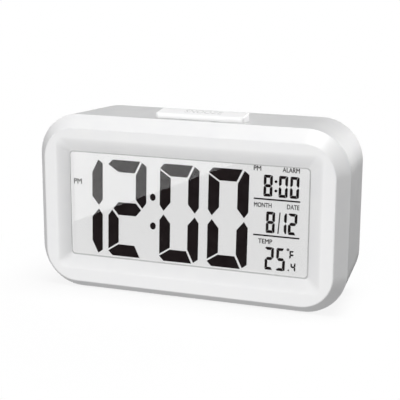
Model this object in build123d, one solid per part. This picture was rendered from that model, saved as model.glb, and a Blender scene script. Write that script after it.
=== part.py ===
from build123d import *
from math import atan2, cos, pi, radians, sin, sqrt, tan
import os

# Desk alarm clock with an LCD, in millimetres.
# X points right, Y points from the front to the back, Z points up from the table.

# Outer skin: the bezel's band widens from the front face to the seam, the rear housing tapers from there
DEPTH = 45.0
SEAM_DEPTH = 6.1
CORNER_R = 18.0
BAND_INSET = 4.5
FACE_SIDE = 5.3
FACE_TOP = 5.2
FACE_CORNER_R = 13.5
FACE_DROP = 0.6
FACE_EDGE_R = 0.8
BACK_INSET = 3.0
BACK_EDGE_R = 2.0
TOP_FALL = 1.25
WALL = 2.2
BACK_WALL = 2.0
TONGUE = 2.5

# Clearances
SEAT_GAP = 0.15
SLIDE_GAP = 0.25
SCREW_GAP = 0.05

# Bezel opening: a convex roll leads from a crease on the flat face down to the window
WINDOW_W = 104.4
WINDOW_H = 45.1
WINDOW_R = 2.5
ROLL_WIDTH = 5.5
ROLL_DEPTH = 1.9
ROLL_START = 7.0
CREASE_R = 6.5
RIM = 0.6
WIDTH = WINDOW_W + 2 * (ROLL_WIDTH + FACE_SIDE + BAND_INSET)
HEIGHT = WINDOW_H + 2 * (ROLL_WIDTH + FACE_TOP + BAND_INSET)

# Display stack, from the window back to the main board
PANE_T = 1.5
PANE_LAP = 2.5
PANE_TO_LCD = 0.3
GLASS_T = 0.7
SEGMENT_T = 0.1
LCD_LAP = 1.0
LEDGE = 2.5
GUIDE_T = 3.0
SHEET_T = 0.2
FRAME_WALL = 1.5
FRAME_FLOOR = 1.2
LED_COUNT = 3
LED_PITCH = 30.0
LED_W = 3.2
LED_H = 1.6
LED_BOARD_T = 0.8
ZEBRA_T = 1.8
ZEBRA_END = 8.2
SPACER = 1.2
BOARD_T = 1.6

# Figures drawn by the segments: overall sizes, strokes and the middles of the figures
DIGIT_W = 17.2
DIGIT_H = 41.7
DIGIT_STROKE = 4.65
DIGIT_Z = -1.4
DIGIT_LEAN = 1.0
DIGIT_X = (-47.3, -27.3, -3.9, 17.4)
COLON_X = -15.6
COLON_DOT = (2.4, 2.9)
COLON_PITCH = 12.4
SMALL_W = 3.6
SMALL_H = 8.8
SMALL_STROKE = 1.0
ALARM_Z = 13.75
ALARM_X = (34.25, 40.55, 45.2)
ALARM_COLON_X = 37.5
ALARM_COLON_PITCH = 3.8
DATE_Z = -1.3
DATE_X = (35.5, 40.4, 44.75)
SLASH_X = 39.1
SLASH_LEAN = 4.6
SLASH_T = 0.35
TEMP_Z = -16.45
TEMP_H = 9.5
TEMP_X = (35.3, 40.1)
UNIT_STROKE = 0.5
UNIT_W = 1.9
UNIT_H = 3.5
UNIT_X = 44.75
UNIT_Z = -14.15
TENTH_X = 45.3
TENTH_Z = -19.1
DEGREE = (43.1, -12.0)
DECIMAL_POINT = (43.45, -20.6)
RULE_X = 38.0
RULE_W = 19.2
RULE_T = 0.35
RULE_Z = (8.15, -6.95)

# Mitred ends of the segments, as shares of the stroke
CORNER_CUT = 0.42
LEVEL_STROKE = 1.08
LEVEL_END = 0.62
MITRE_END = 1.14
MITRE_GAP = 0.2
TIP_IN = 0.36
TIP_GAP = 0.19
SHOULDER = 0.7
INNER_SHOULDER = 0.97
MIDDLE_TIP = 0.5
MIDDLE_HALF = 0.58

# Screws
SCREW_R = 1.0
SCREW_HEAD_R = 2.0
SCREW_HEAD_T = 1.4
BOSS_WALL = 1.5
CASE_SCREW_SIDE = 9.0
CASE_SCREW_TOP = 19.75
CASE_SCREW_X = WIDTH / 2 - CASE_SCREW_SIDE
CASE_SCREW_Z = HEIGHT / 2 - CASE_SCREW_TOP
POST_FLOOR = 3.0
POST_WALL = 1.1
FRAME_SCREW_SIDE = 12.2
FRAME_SCREW_X = WINDOW_W / 2 - FRAME_SCREW_SIDE
SCREW_BITE = 4.5

# Main board parts
CHIP_R = 6.0
CHIP_T = 1.2
CHIP_EDGE_R = 1.0
CHIP_X = -12.0
CHIP_Z = 6.0
CRYSTAL_R = 1.0
CRYSTAL_L = 6.0
CRYSTAL_X = -6.0
CRYSTAL_Z = -6.0
CAPACITOR_R = 2.5
CAPACITOR_L = 5.0
CAPACITOR_PITCH = 7.0
CAPACITOR_X = -24.0
CAPACITOR_Z = -6.0

# Switches with a plunger, used under every key
SWITCH_W = 6.0
SWITCH_H = 3.5
PLUNGER_R = 1.7
PLUNGER_L = 1.8
PLUNGER_PROUD = 1.0
SMALL_BOARD_T = 1.2

# Snooze bar on the top wall
SNOOZE_X = 3.4
SNOOZE_W = 38.0
SNOOZE_D = 9.2
SNOOZE_SETBACK = 2.2
SNOOZE_PROUD = 2.6
SNOOZE_R = 1.6
SNOOZE_EDGE_R = 1.0
SNOOZE_CROWN = 0.2
SNOOZE_BACK_RISE = 0.5
SNOOZE_TRAVEL = 0.7
SNOOZE_FLANGE = 1.2
SNOOZE_LAP = 1.3
SNOOZE_POST_R = 2.0
SNOOZE_BOSS_PITCH = 48.0

# Keys and alarm switch in a row across the back panel
KEY_NAMES = ("mode", "set", "up", "down")
KEY_PITCH = 18.0
KEY_ROW_TOP = 15.75
KEY_ROW_Z = HEIGHT / 2 - KEY_ROW_TOP
KEY_W = 10.5
KEY_H = 5.6
KEY_PROUD = 1.2
KEY_EDGE_R = 0.7
KEY_TRAVEL = 0.6
KEY_FLANGE = 1.2
KEY_LAP = 0.8
KEY_POST_R = 1.5
KEY_POST_L = 1.0
KEY_BOARD_EDGE = 2.0
KNOB_W = 4.6
KNOB_H = 3.4
KNOB_TRAVEL = 2.5
KNOB_FLANGE = 1.0
KNOB_LAP = 3.2
KNOB_GROOVE = KNOB_W / 7
LEVER_W = 1.6
LEVER_L = 4.0
SLIDE_CASE_W = 9.0
SLIDE_CASE_H = 4.4
SLIDE_CASE_T = 3.6

# Battery bay for three AAA cells lying across the back
CELL_COUNT = 3
CELL_R = 5.25
CELL_L = 44.5
CELL_PITCH = 10.9
NUB_R = 1.9
NUB_L = 1.0
BAY_RISE = 26.75
BAY_Z = BAY_RISE - HEIGHT / 2
BAY_WALL = 1.6
CELL_GAP = 0.3
PLATE_T = 0.4
PLATE_W = 8.4
DIMPLE = 0.5
DIMPLE_R = 2.4
DIMPLE_SLOPE = 30.0
TAIL_W = 3.0
TAIL_L = 2.4
SPRING_L = 4.0
SPRING_TURNS = 3
SPRING_WIRE_R = 0.3
SPRING_BASE_R = 3.7
SPRING_TIP_R = 2.2
SPRING_CLEAR = 0.05
DOOR_T = 1.9
DOOR_LAP = 1.2
DOOR_R = 2.0
HOOK_PITCH = 30.0
HOOK_W = 6.0
HOOK_T = 1.5
HOOK_REACH = 2.2
HOOK_TOE = 1.7
LATCH_W = 10.0
LATCH_T = 1.2
LATCH_L = 1.8
LATCH_GAP = 0.5
GRIP_COUNT = 4
GRIP_PITCH = 2.2
GRIP_W = 16.0
GRIP_T = 0.5
SCOOP_R = 9.0
SCOOP_DEPTH = 1.1

# Buzzer, vents and temperature sensor beside the bay
SIDE_INSET = 23.5
SIDE_RISE = 3.0
SIDE_X = WIDTH / 2 - SIDE_INSET
SIDE_Z = BAY_Z + SIDE_RISE
BUZZER_R = 10.0
BUZZER_T = 0.3
CERAMIC_R = 7.0
BUZZER_RING = 1.6
BUZZER_STAND = 1.5
SOUND_HOLE_R = 0.8
SOUND_RINGS = 2
SOUND_PITCH = 3.0
VENT_COUNT = 5
VENT_W = 11.0
VENT_H = 1.5
VENT_PITCH = 3.4
BEAD_R = 1.4
BEAD_DROP = 20.0
BEAD_LEAD_R = 0.3

# Leads and ribbons inside the case
LEAD_R = 0.6
CORNER_SHARE = 0.45
RIBBON_W = 9.0
RIBBON_T = 0.6

# Rubber feet under the bottom wall
FOOT_END = 25.5
FOOT_L = WIDTH - 2 * FOOT_END
FOOT_W = 6.0
FOOT_T = 1.6
FOOT_PROUD = 0.8
FRONT_FOOT_DEPTH = 14.0
REAR_FOOT_DEPTH = 36.0

# Places that follow from the sizes above
FRONT = -(DEPTH + KEY_PROUD) / 2
MID = FOOT_PROUD + HEIGHT / 2
FRONT_WALL = ROLL_DEPTH + RIM
PANE_BACK = FRONT_WALL + PANE_T
LCD_FRONT = PANE_BACK + PANE_TO_LCD
SEGMENT_DEPTH = LCD_FRONT + GLASS_T
REAR_GLASS = SEGMENT_DEPTH + SEGMENT_T
GUIDE_FRONT = REAR_GLASS + GLASS_T
SHEET_FRONT = GUIDE_FRONT + GUIDE_T
FLOOR_FRONT = SHEET_FRONT + SHEET_T
FLOOR_BACK = FLOOR_FRONT + FRAME_FLOOR
BOARD_FRONT = FLOOR_BACK + SPACER
BOARD_BACK = BOARD_FRONT + BOARD_T
BACK_INSIDE = DEPTH - BACK_WALL
LCD_W = WINDOW_W + 2 * LCD_LAP
LCD_H = WINDOW_H + 2 * LCD_LAP
ZEBRA_L = LCD_W - 2 * ZEBRA_END
LCD_TOP = LCD_H / 2
LCD_BASE = -LCD_H / 2 - LEDGE
LED_ROOM = LED_H + LED_BOARD_T + SEAT_GAP
FRAME_IN_W = LCD_W + 4 * SEAT_GAP
FRAME_TOP = LCD_TOP + LED_ROOM + SEAT_GAP
FRAME_BASE = LCD_BASE - 2 * SEAT_GAP
BOSS_R = SCREW_R + BOSS_WALL
POST_BORE = SCREW_HEAD_R + 2 * SLIDE_GAP
POST_R = POST_BORE + POST_WALL
UPPER_SCREW_Z = FRAME_TOP + FRAME_WALL + BOSS_R + SEAT_GAP
LOWER_SCREW_Z = FRAME_BASE - FRAME_WALL - BOSS_R - SEAT_GAP
CASE_BOSS_DEPTH = FLOOR_BACK + 2 * SLIDE_GAP
CASE_SCREWS = [(x, z) for x in (-CASE_SCREW_X, CASE_SCREW_X) for z in (-CASE_SCREW_Z, CASE_SCREW_Z)]
FRAME_SCREWS = [(x, z) for x in (-FRAME_SCREW_X, FRAME_SCREW_X) for z in (LOWER_SCREW_Z, UPPER_SCREW_Z)]
KEY_X = [(2 - i) * KEY_PITCH for i in range(len(KEY_NAMES))]
KNOB_X = -2 * KEY_PITCH
KEY_BOARD_SCREWS = [(1.5 * KEY_PITCH, KEY_ROW_Z), (-1.5 * KEY_PITCH, KEY_ROW_Z)]
KEY_FLANGE_FRONT = BACK_INSIDE - KEY_FLANGE
KEY_SWITCH_TOP = KEY_FLANGE_FRONT - KEY_POST_L - PLUNGER_PROUD
KEY_BOARD_BACK = KEY_SWITCH_TOP - SWITCH_H
KEY_BOARD_FRONT = KEY_BOARD_BACK - SMALL_BOARD_T
DOOR_FRONT = DEPTH - DOOR_T
BAY_W = CELL_L + SPRING_L + 2 * PLATE_T + DIMPLE
BAY_H = CELL_COUNT * CELL_PITCH + 2 * SEAT_GAP
BAY_FLOOR = DOOR_FRONT - 2 * CELL_R - 2 * CELL_GAP
CELL_DEPTH = BAY_FLOOR + CELL_GAP + CELL_R
CELL_Z = [BAY_Z + (1 - i) * CELL_PITCH for i in range(CELL_COUNT)]
DOOR_W = BAY_W + 2 * DOOR_LAP
DOOR_H = BAY_H + 2 * DOOR_LAP
DOOR_BASE = BAY_Z - DOOR_H / 2
SNOOZE_DEPTH = SEAM_DEPTH + SNOOZE_SETBACK + SNOOZE_D / 2


def top_skin(depth):
    """Height of the outer top wall above the middle of the clock, at a depth behind the seam."""
    return HEIGHT / 2 - TOP_FALL * (depth - SEAM_DEPTH) / (DEPTH - SEAM_DEPTH)


SNOOZE_BACK = SNOOZE_DEPTH + SNOOZE_D / 2 + SNOOZE_LAP
SNOOZE_FLANGE_TOP = top_skin(SNOOZE_BACK) - WALL - SEAT_GAP
SNOOZE_FLANGE_BASE = SNOOZE_FLANGE_TOP - SNOOZE_FLANGE
SNOOZE_SWITCH_TOP = SNOOZE_FLANGE_BASE - PLUNGER_PROUD - KEY_POST_L
SNOOZE_BOARD_TOP = SNOOZE_SWITCH_TOP - SWITCH_H
SNOOZE_BOARD_BASE = SNOOZE_BOARD_TOP - SMALL_BOARD_T
SNOOZE_BOARD_FRONT = FLOOR_BACK + 2 * SLIDE_GAP
SNOOZE_SWITCH_DEPTH = SNOOZE_BOARD_FRONT + SWITCH_W / 2
SNOOZE_SCREW_DEPTH = BOARD_BACK + SCREW_HEAD_R + 2 * SLIDE_GAP
SNOOZE_BOARD_D = SNOOZE_SCREW_DEPTH + BOSS_R - SNOOZE_BOARD_FRONT
SNOOZE_SCREWS = [SNOOZE_X - SNOOZE_BOSS_PITCH / 2, SNOOZE_X + SNOOZE_BOSS_PITCH / 2]


def depth_plane(depth, x=0.0, z=0.0):
    """Upright plane across the clock at a depth behind the front face, facing the front."""
    return Plane(origin=(x, FRONT + depth, MID + z), x_dir=(1, 0, 0), z_dir=(0, -1, 0))


def level_plane(z, x=0.0, depth=0.0):
    """Level plane at a height above the middle of the clock, facing up."""
    return Plane(origin=(x, FRONT + depth, MID + z), x_dir=(1, 0, 0), z_dir=(0, 0, 1))


def side_plane(x, depth, z):
    """Upright plane along the clock's depth, facing right, with local y pointing up."""
    return Plane(origin=(x, FRONT + depth, MID + z), x_dir=(0, 1, 0), z_dir=(1, 0, 0))


def slab(outline, front, back, x=0.0, z=0.0):
    """Solid of an upright outline between two depths."""
    return extrude(depth_plane(back, x, z) * outline, amount=back - front)


def tier(outline, low, high, x=0.0, depth=0.0):
    """Solid of a level outline between two heights."""
    return extrude(level_plane(low, x, depth) * outline, amount=high - low)


def point(x, depth, z):
    """Point given by its depth behind the front face and its height above the middle."""
    return Vector(x, FRONT + depth, MID + z)


def skin(depth, inset=0.0):
    """Outline of the outer skin at a depth, drawn in by an inset."""
    if depth <= SEAM_DEPTH:
        share = 1 - depth / SEAM_DEPTH
        width = WIDTH - 2 * BAND_INSET * share
        height = HEIGHT - 2 * BAND_INSET * share
        corner = CORNER_R + (FACE_CORNER_R - CORNER_R) * share
        rise = -FACE_DROP * share
    else:
        share = (depth - SEAM_DEPTH) / (DEPTH - SEAM_DEPTH)
        width = WIDTH - 2 * BACK_INSET * share
        height = HEIGHT - TOP_FALL * share
        corner = CORNER_R
        rise = -TOP_FALL / 2 * share
    outline = RectangleRounded(width - 2 * inset, height - 2 * inset, corner - inset)
    return depth_plane(depth, 0, rise) * outline


def between(low, high):
    """Middle and length of a span."""
    return (low + high) / 2, high - low


def roll_cut():
    """Space above the convex roll: outlines shrink and sink along an arc from the crease to the window."""
    chord = atan2(ROLL_DEPTH, ROLL_WIDTH)
    start = radians(ROLL_START)
    end = 2 * chord - start
    radius = ROLL_WIDTH / (sin(end) - sin(start))
    sections = []
    for step in range(4):
        slope = start + (end - start) * step / 3
        left = ROLL_WIDTH - radius * (sin(slope) - sin(start))
        corner = WINDOW_R + (CREASE_R - WINDOW_R) * left / ROLL_WIDTH
        outline = RectangleRounded(WINDOW_W + 2 * left, WINDOW_H + 2 * left, corner)
        sections.append(depth_plane(radius * (cos(start) - cos(slope))) * outline)
    return loft(sections)


def snooze_outline(extra):
    """Outline of the snooze bar seen from above, grown by a clearance or a lap."""
    return RectangleRounded(SNOOZE_W + 2 * extra, SNOOZE_D + 2 * extra, SNOOZE_R + extra)


def front_bezel():
    """Bezel: tapered band and face, rolled opening, tongue for the rear housing, screw bosses."""
    body = loft([skin(SEAM_DEPTH), skin(0)], ruled=True)
    body = fillet(body.faces().sort_by(Axis.Y)[0].edges(), FACE_EDGE_R)
    body -= loft([skin(SEAM_DEPTH, WALL), skin(FRONT_WALL, WALL)], ruled=True)
    body -= roll_cut()
    body -= slab(RectangleRounded(WINDOW_W, WINDOW_H, WINDOW_R), 0, FRONT_WALL)
    tongue = extrude(skin(SEAM_DEPTH, WALL / 2 + SEAT_GAP) - skin(SEAM_DEPTH, WALL), amount=-TONGUE)
    tongue -= tier(snooze_outline(SNOOZE_LAP + 2 * SLIDE_GAP), 0, HEIGHT, SNOOZE_X, SNOOZE_DEPTH)
    body += tongue
    for x, z in CASE_SCREWS:
        body += slab(Circle(BOSS_R), RIM, CASE_BOSS_DEPTH, x, z)
        body -= slab(Circle(SCREW_R + SCREW_GAP), FRONT_WALL, CASE_BOSS_DEPTH, x, z)
    for x, z in FRAME_SCREWS:
        body += slab(Circle(BOSS_R), RIM, FLOOR_FRONT, x, z)
        body -= slab(Circle(SCREW_R + SCREW_GAP), FRONT_WALL, FLOOR_FRONT, x, z)
    return body


def display_window():
    """Clear pane that lies against the inside of the bezel's rim."""
    outline = RectangleRounded(WINDOW_W + 2 * PANE_LAP, WINDOW_H + 2 * PANE_LAP, WINDOW_R)
    return slab(outline, FRONT_WALL, PANE_BACK)


def seven_segments(letters, width, height, stroke, x, z):
    """Segments of one figure: level bars own the left corners, upright bars own the right corners."""
    w = width / 2
    h = height / 2
    cut = CORNER_CUT * stroke
    inner = h - LEVEL_STROKE * stroke
    mitre = MITRE_GAP * stroke
    tip = TIP_GAP * stroke
    outer_shoulder = SHOULDER * stroke
    inner_shoulder = INNER_SHOULDER * stroke
    tip_x = w - TIP_IN * stroke
    inner_x = w - stroke
    level = [(-w, h - cut), (cut - w, h), (w - LEVEL_END * stroke, h)]
    level += [(w - MITRE_END * stroke, inner), (-inner_x, inner)]
    right = [(w - cut, h - mitre / 2), (w, h - cut), (w, outer_shoulder), (tip_x, tip)]
    right += [(inner_x, inner_shoulder), (inner_x, inner - mitre)]
    left = [(-w, h - cut - mitre), (-inner_x, inner - mitre), (-inner_x, inner_shoulder)]
    left += [(-tip_x, tip), (-w, outer_shoulder)]
    middle_tip = w - MIDDLE_TIP * stroke
    half = MIDDLE_HALF * stroke
    middle = [(-middle_tip, 0), (-inner_x, half), (inner_x, half)]
    middle += [(middle_tip, 0), (inner_x, -half), (-inner_x, -half)]
    corners = {
        "a": level,
        "b": right,
        "c": [(u, -v) for u, v in right],
        "d": [(u, -v) for u, v in level],
        "e": [(u, -v) for u, v in left],
        "f": left,
        "g": middle,
    }
    lean = tan(radians(DIGIT_LEAN))
    bars = []
    for letter in letters:
        outline = make_face(Polyline([(u + lean * v, v) for u, v in corners[letter]], close=True))
        bars.append(segment(outline, x, z))
    return bars


FIGURES = {"0": "abcdef", "1": "bc", "2": "abged", "4": "bcfg", "5": "acdfg", "8": "abcdefg", "F": "aefg"}


def segment(outline, x, z):
    """One thin dark area between the two glasses."""
    return slab(outline, SEGMENT_DEPTH, REAR_GLASS, x, z)


def lcd_segments():
    """Dark segments between the two glasses: the time, and an alarm, a date and a temperature beside it."""
    dark = []
    for figure, x in zip("1200", DIGIT_X):
        dark += seven_segments(FIGURES[figure], DIGIT_W, DIGIT_H, DIGIT_STROKE, x, DIGIT_Z)
    for figure, x in zip("800", ALARM_X):
        dark += seven_segments(FIGURES[figure], SMALL_W, SMALL_H, SMALL_STROKE, x, ALARM_Z)
    for figure, x in zip("812", DATE_X):
        dark += seven_segments(FIGURES[figure], SMALL_W, SMALL_H, SMALL_STROKE, x, DATE_Z)
    for figure, x in zip("25", TEMP_X):
        dark += seven_segments(FIGURES[figure], SMALL_W, TEMP_H, SMALL_STROKE, x, TEMP_Z)
    dark += seven_segments(FIGURES["F"], UNIT_W, UNIT_H, UNIT_STROKE, UNIT_X, UNIT_Z)
    dark += seven_segments(FIGURES["4"], UNIT_W, UNIT_H, UNIT_STROKE, TENTH_X, TENTH_Z)
    for side in (-0.5, 0.5):
        colon = Ellipse(COLON_DOT[0] / 2, COLON_DOT[1] / 2)
        dark.append(segment(colon, COLON_X, DIGIT_Z + side * COLON_PITCH))
        dark.append(segment(Circle(SMALL_STROKE / 2), ALARM_COLON_X, ALARM_Z + side * ALARM_COLON_PITCH))
    dark.append(segment(Rot(0, 0, -SLASH_LEAN) * Rectangle(SLASH_T, SMALL_H), SLASH_X, DATE_Z))
    dark.append(segment(Circle(UNIT_STROKE) - Circle(UNIT_STROKE / 2), *DEGREE))
    dark.append(segment(Circle(UNIT_STROKE / 2), *DECIMAL_POINT))
    for z in RULE_Z:
        dark.append(segment(Rectangle(RULE_W, RULE_T), RULE_X, z))
    return Compound(children=[solid for area in dark for solid in area.solids()])


def lcd_front_glass():
    """Front glass of the LCD."""
    return slab(Rectangle(LCD_W, LCD_H), LCD_FRONT, SEGMENT_DEPTH)


def lcd_rear_glass():
    """Rear glass of the LCD, longer at the bottom for the row of contacts."""
    middle, height = between(LCD_BASE, LCD_TOP)
    return slab(Rectangle(LCD_W, height), REAR_GLASS, GUIDE_FRONT, 0, middle)


def light_guide():
    """Clear plate that spreads the LEDs' light behind the LCD."""
    return slab(Rectangle(LCD_W, LCD_H), GUIDE_FRONT, SHEET_FRONT)


def reflector_sheet():
    """White sheet behind the light guide."""
    return slab(Rectangle(LCD_W, LCD_H), SHEET_FRONT, FLOOR_FRONT)


def backlight_board():
    """Narrow board above the light guide that carries the LEDs."""
    middle, thick = between(GUIDE_FRONT, FLOOR_FRONT)
    base = LCD_TOP + SEAT_GAP + LED_H
    return tier(Rectangle(LED_PITCH * LED_COUNT, thick), base, base + LED_BOARD_T, 0, middle)


def backlight_leds():
    """LEDs that shine down into the top edge of the light guide."""
    base = LCD_TOP + SEAT_GAP
    depth = GUIDE_FRONT + GUIDE_T / 2
    leds = []
    for i in range(LED_COUNT):
        x = (i - (LED_COUNT - 1) / 2) * LED_PITCH
        leds += tier(Rectangle(LED_W, GUIDE_T - 2 * SEAT_GAP), base, base + LED_H, x, depth).solids()
    return Compound(children=leds)


def lcd_frame():
    """Tray that holds the display stack against the window, with a slot for the contacts and screw ears."""
    middle, height = between(FRAME_BASE, FRAME_TOP)
    outline = Rectangle(FRAME_IN_W + 2 * FRAME_WALL, height + 2 * FRAME_WALL)
    frame = slab(outline, PANE_BACK, FLOOR_BACK, 0, middle)
    frame -= slab(Rectangle(FRAME_IN_W, height), PANE_BACK, FLOOR_FRONT, 0, middle)
    slot = Rectangle(ZEBRA_L + 2 * SEAT_GAP, ZEBRA_T + 2 * SEAT_GAP)
    frame -= slab(slot, FLOOR_FRONT, FLOOR_BACK, 0, LCD_BASE + LEDGE / 2)
    for x, z in FRAME_SCREWS:
        inward = BOSS_R / 2 if z < 0 else -BOSS_R / 2
        frame += slab(Rectangle(2 * BOSS_R, BOSS_R + 2 * FRAME_WALL), FLOOR_FRONT, FLOOR_BACK, x, z + inward)
        frame += slab(Circle(BOSS_R), FLOOR_FRONT, BOARD_FRONT, x, z)
        frame -= slab(Circle(SCREW_R + SLIDE_GAP), FLOOR_FRONT, BOARD_FRONT, x, z)
    return frame


def zebra_strip():
    """Elastomer strip that links the contacts on the rear glass to the main board."""
    return slab(Rectangle(ZEBRA_L, ZEBRA_T), GUIDE_FRONT, BOARD_FRONT, 0, LCD_BASE + LEDGE / 2)


def main_board():
    """Main circuit board on the frame's ears."""
    middle, height = between(FRAME_BASE - FRAME_WALL, FRAME_TOP)
    width = 2 * (CASE_SCREW_X - POST_R - 2 * SLIDE_GAP)
    board = slab(Rectangle(width, height), BOARD_FRONT, BOARD_BACK, 0, middle)
    for x, z in FRAME_SCREWS:
        inward = BOSS_R if z < 0 else -BOSS_R
        board += slab(Rectangle(2 * BOSS_R, 2 * BOSS_R), BOARD_FRONT, BOARD_BACK, x, z + inward)
        board += slab(Circle(BOSS_R), BOARD_FRONT, BOARD_BACK, x, z)
        board -= slab(Circle(SCREW_R + SLIDE_GAP), BOARD_FRONT, BOARD_BACK, x, z)
    return board


def clock_chip():
    """Epoxy drop over the clock chip."""
    drop = slab(Circle(CHIP_R), BOARD_BACK, BOARD_BACK + CHIP_T, CHIP_X, CHIP_Z)
    return fillet(drop.faces().sort_by(Axis.Y)[-1].edges(), CHIP_EDGE_R)


def quartz_crystal():
    """Crystal in its small round can, lying on the main board."""
    plane = side_plane(CRYSTAL_X, BOARD_BACK + CRYSTAL_R, CRYSTAL_Z)
    can = extrude(plane * Circle(CRYSTAL_R), amount=CRYSTAL_L)
    return fillet(can.faces().sort_by(Axis.X)[-1].edges(), CRYSTAL_R / 2)


def capacitors():
    """Pair of capacitors that stand on the main board."""
    cans = []
    for side in (-0.5, 0.5):
        x = CAPACITOR_X + side * CAPACITOR_PITCH
        cans += slab(Circle(CAPACITOR_R), BOARD_BACK, BOARD_BACK + CAPACITOR_L, x, CAPACITOR_Z).solids()
    return Compound(children=cans)


def screw(head_depth, tip_depth, x, z):
    """Screw driven from the back: its head bears on the face at head_depth."""
    head = slab(Circle(SCREW_HEAD_R), head_depth, head_depth + SCREW_HEAD_T, x, z)
    head = fillet(head.faces().sort_by(Axis.Y)[-1].edges(), SCREW_HEAD_T / 2)
    return head + slab(Circle(SCREW_R), tip_depth, head_depth, x, z)


def board_screws():
    """Screws that hold the main board and the LCD frame to the bezel."""
    tip = FLOOR_FRONT - SCREW_BITE
    return Compound(children=[screw(BOARD_BACK, tip, x, z).solid() for x, z in FRAME_SCREWS])


def case_screws():
    """Screws at the bottom of the rear wells, which hold the two halves of the case together."""
    seat = CASE_BOSS_DEPTH + POST_FLOOR
    tip = CASE_BOSS_DEPTH - SCREW_BITE
    return Compound(children=[screw(seat, tip, x, z).solid() for x, z in CASE_SCREWS])


def battery_bay():
    """Box of the battery bay, open at the back."""
    outline = Rectangle(BAY_W + 2 * BAY_WALL, BAY_H + 2 * BAY_WALL)
    return slab(outline, BAY_FLOOR - BAY_WALL, BACK_INSIDE, 0, BAY_Z)


def bay_cuts():
    """Hollow of the bay, seat of its door, notches for the hooks and slots for the contact tails."""
    cuts = slab(Rectangle(BAY_W, BAY_H), BAY_FLOOR, DEPTH, 0, BAY_Z)
    seat = RectangleRounded(DOOR_W + 2 * SLIDE_GAP, DOOR_H + 2 * SLIDE_GAP, DOOR_R + SLIDE_GAP)
    cuts += slab(seat, DOOR_FRONT, DEPTH, 0, BAY_Z)
    swing = sqrt((DOOR_T + HOOK_REACH) ** 2 + HOOK_TOE ** 2) + 2 * SLIDE_GAP
    notch = Rectangle(HOOK_W + 4 * SLIDE_GAP, 2 * BAY_WALL)
    for x in (-HOOK_PITCH / 2, HOOK_PITCH / 2):
        cuts += slab(notch, DEPTH - swing, DOOR_FRONT, x, BAY_Z - BAY_H / 2 - BAY_WALL)
    slot = Rectangle(PLATE_T + 2 * SEAT_GAP, TAIL_W + 2 * SEAT_GAP)
    tail_x = (BAY_W - PLATE_T) / 2
    for x, z in ((tail_x, CELL_Z[0]), (-tail_x, CELL_Z[-1])):
        cuts += slab(slot, BAY_FLOOR - BAY_WALL, BAY_FLOOR, x, z)
    return cuts


def sound_holes():
    """Middle hole and rings of holes in front of the buzzer."""
    holes = slab(Circle(SOUND_HOLE_R), BACK_INSIDE, DEPTH, SIDE_X, SIDE_Z)
    for ring in range(1, SOUND_RINGS + 1):
        for step in range(6 * ring):
            turn = 2 * pi * step / (6 * ring)
            x = SIDE_X + ring * SOUND_PITCH * cos(turn)
            z = SIDE_Z + ring * SOUND_PITCH * sin(turn)
            holes += slab(Circle(SOUND_HOLE_R), BACK_INSIDE, DEPTH, x, z)
    return holes


def vent_slots():
    """Slots that let room air reach the temperature sensor."""
    slots = Part()
    for i in range(VENT_COUNT):
        z = SIDE_Z + (i - (VENT_COUNT - 1) / 2) * VENT_PITCH
        slots += slab(SlotOverall(VENT_W, VENT_H), BACK_INSIDE, DEPTH, -SIDE_X, z)
    return slots


def finger_scoop():
    """Shallow hollow above the battery door for a fingertip."""
    ball = Sphere(SCOOP_R)
    return Pos(point(0, DEPTH + SCOOP_R - SCOOP_DEPTH, BAY_Z + DOOR_H / 2)) * ball


def foot_outline(extra):
    """Outline of a foot seen from below."""
    return SlotOverall(FOOT_L + 2 * extra, FOOT_W + 2 * extra)


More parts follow.
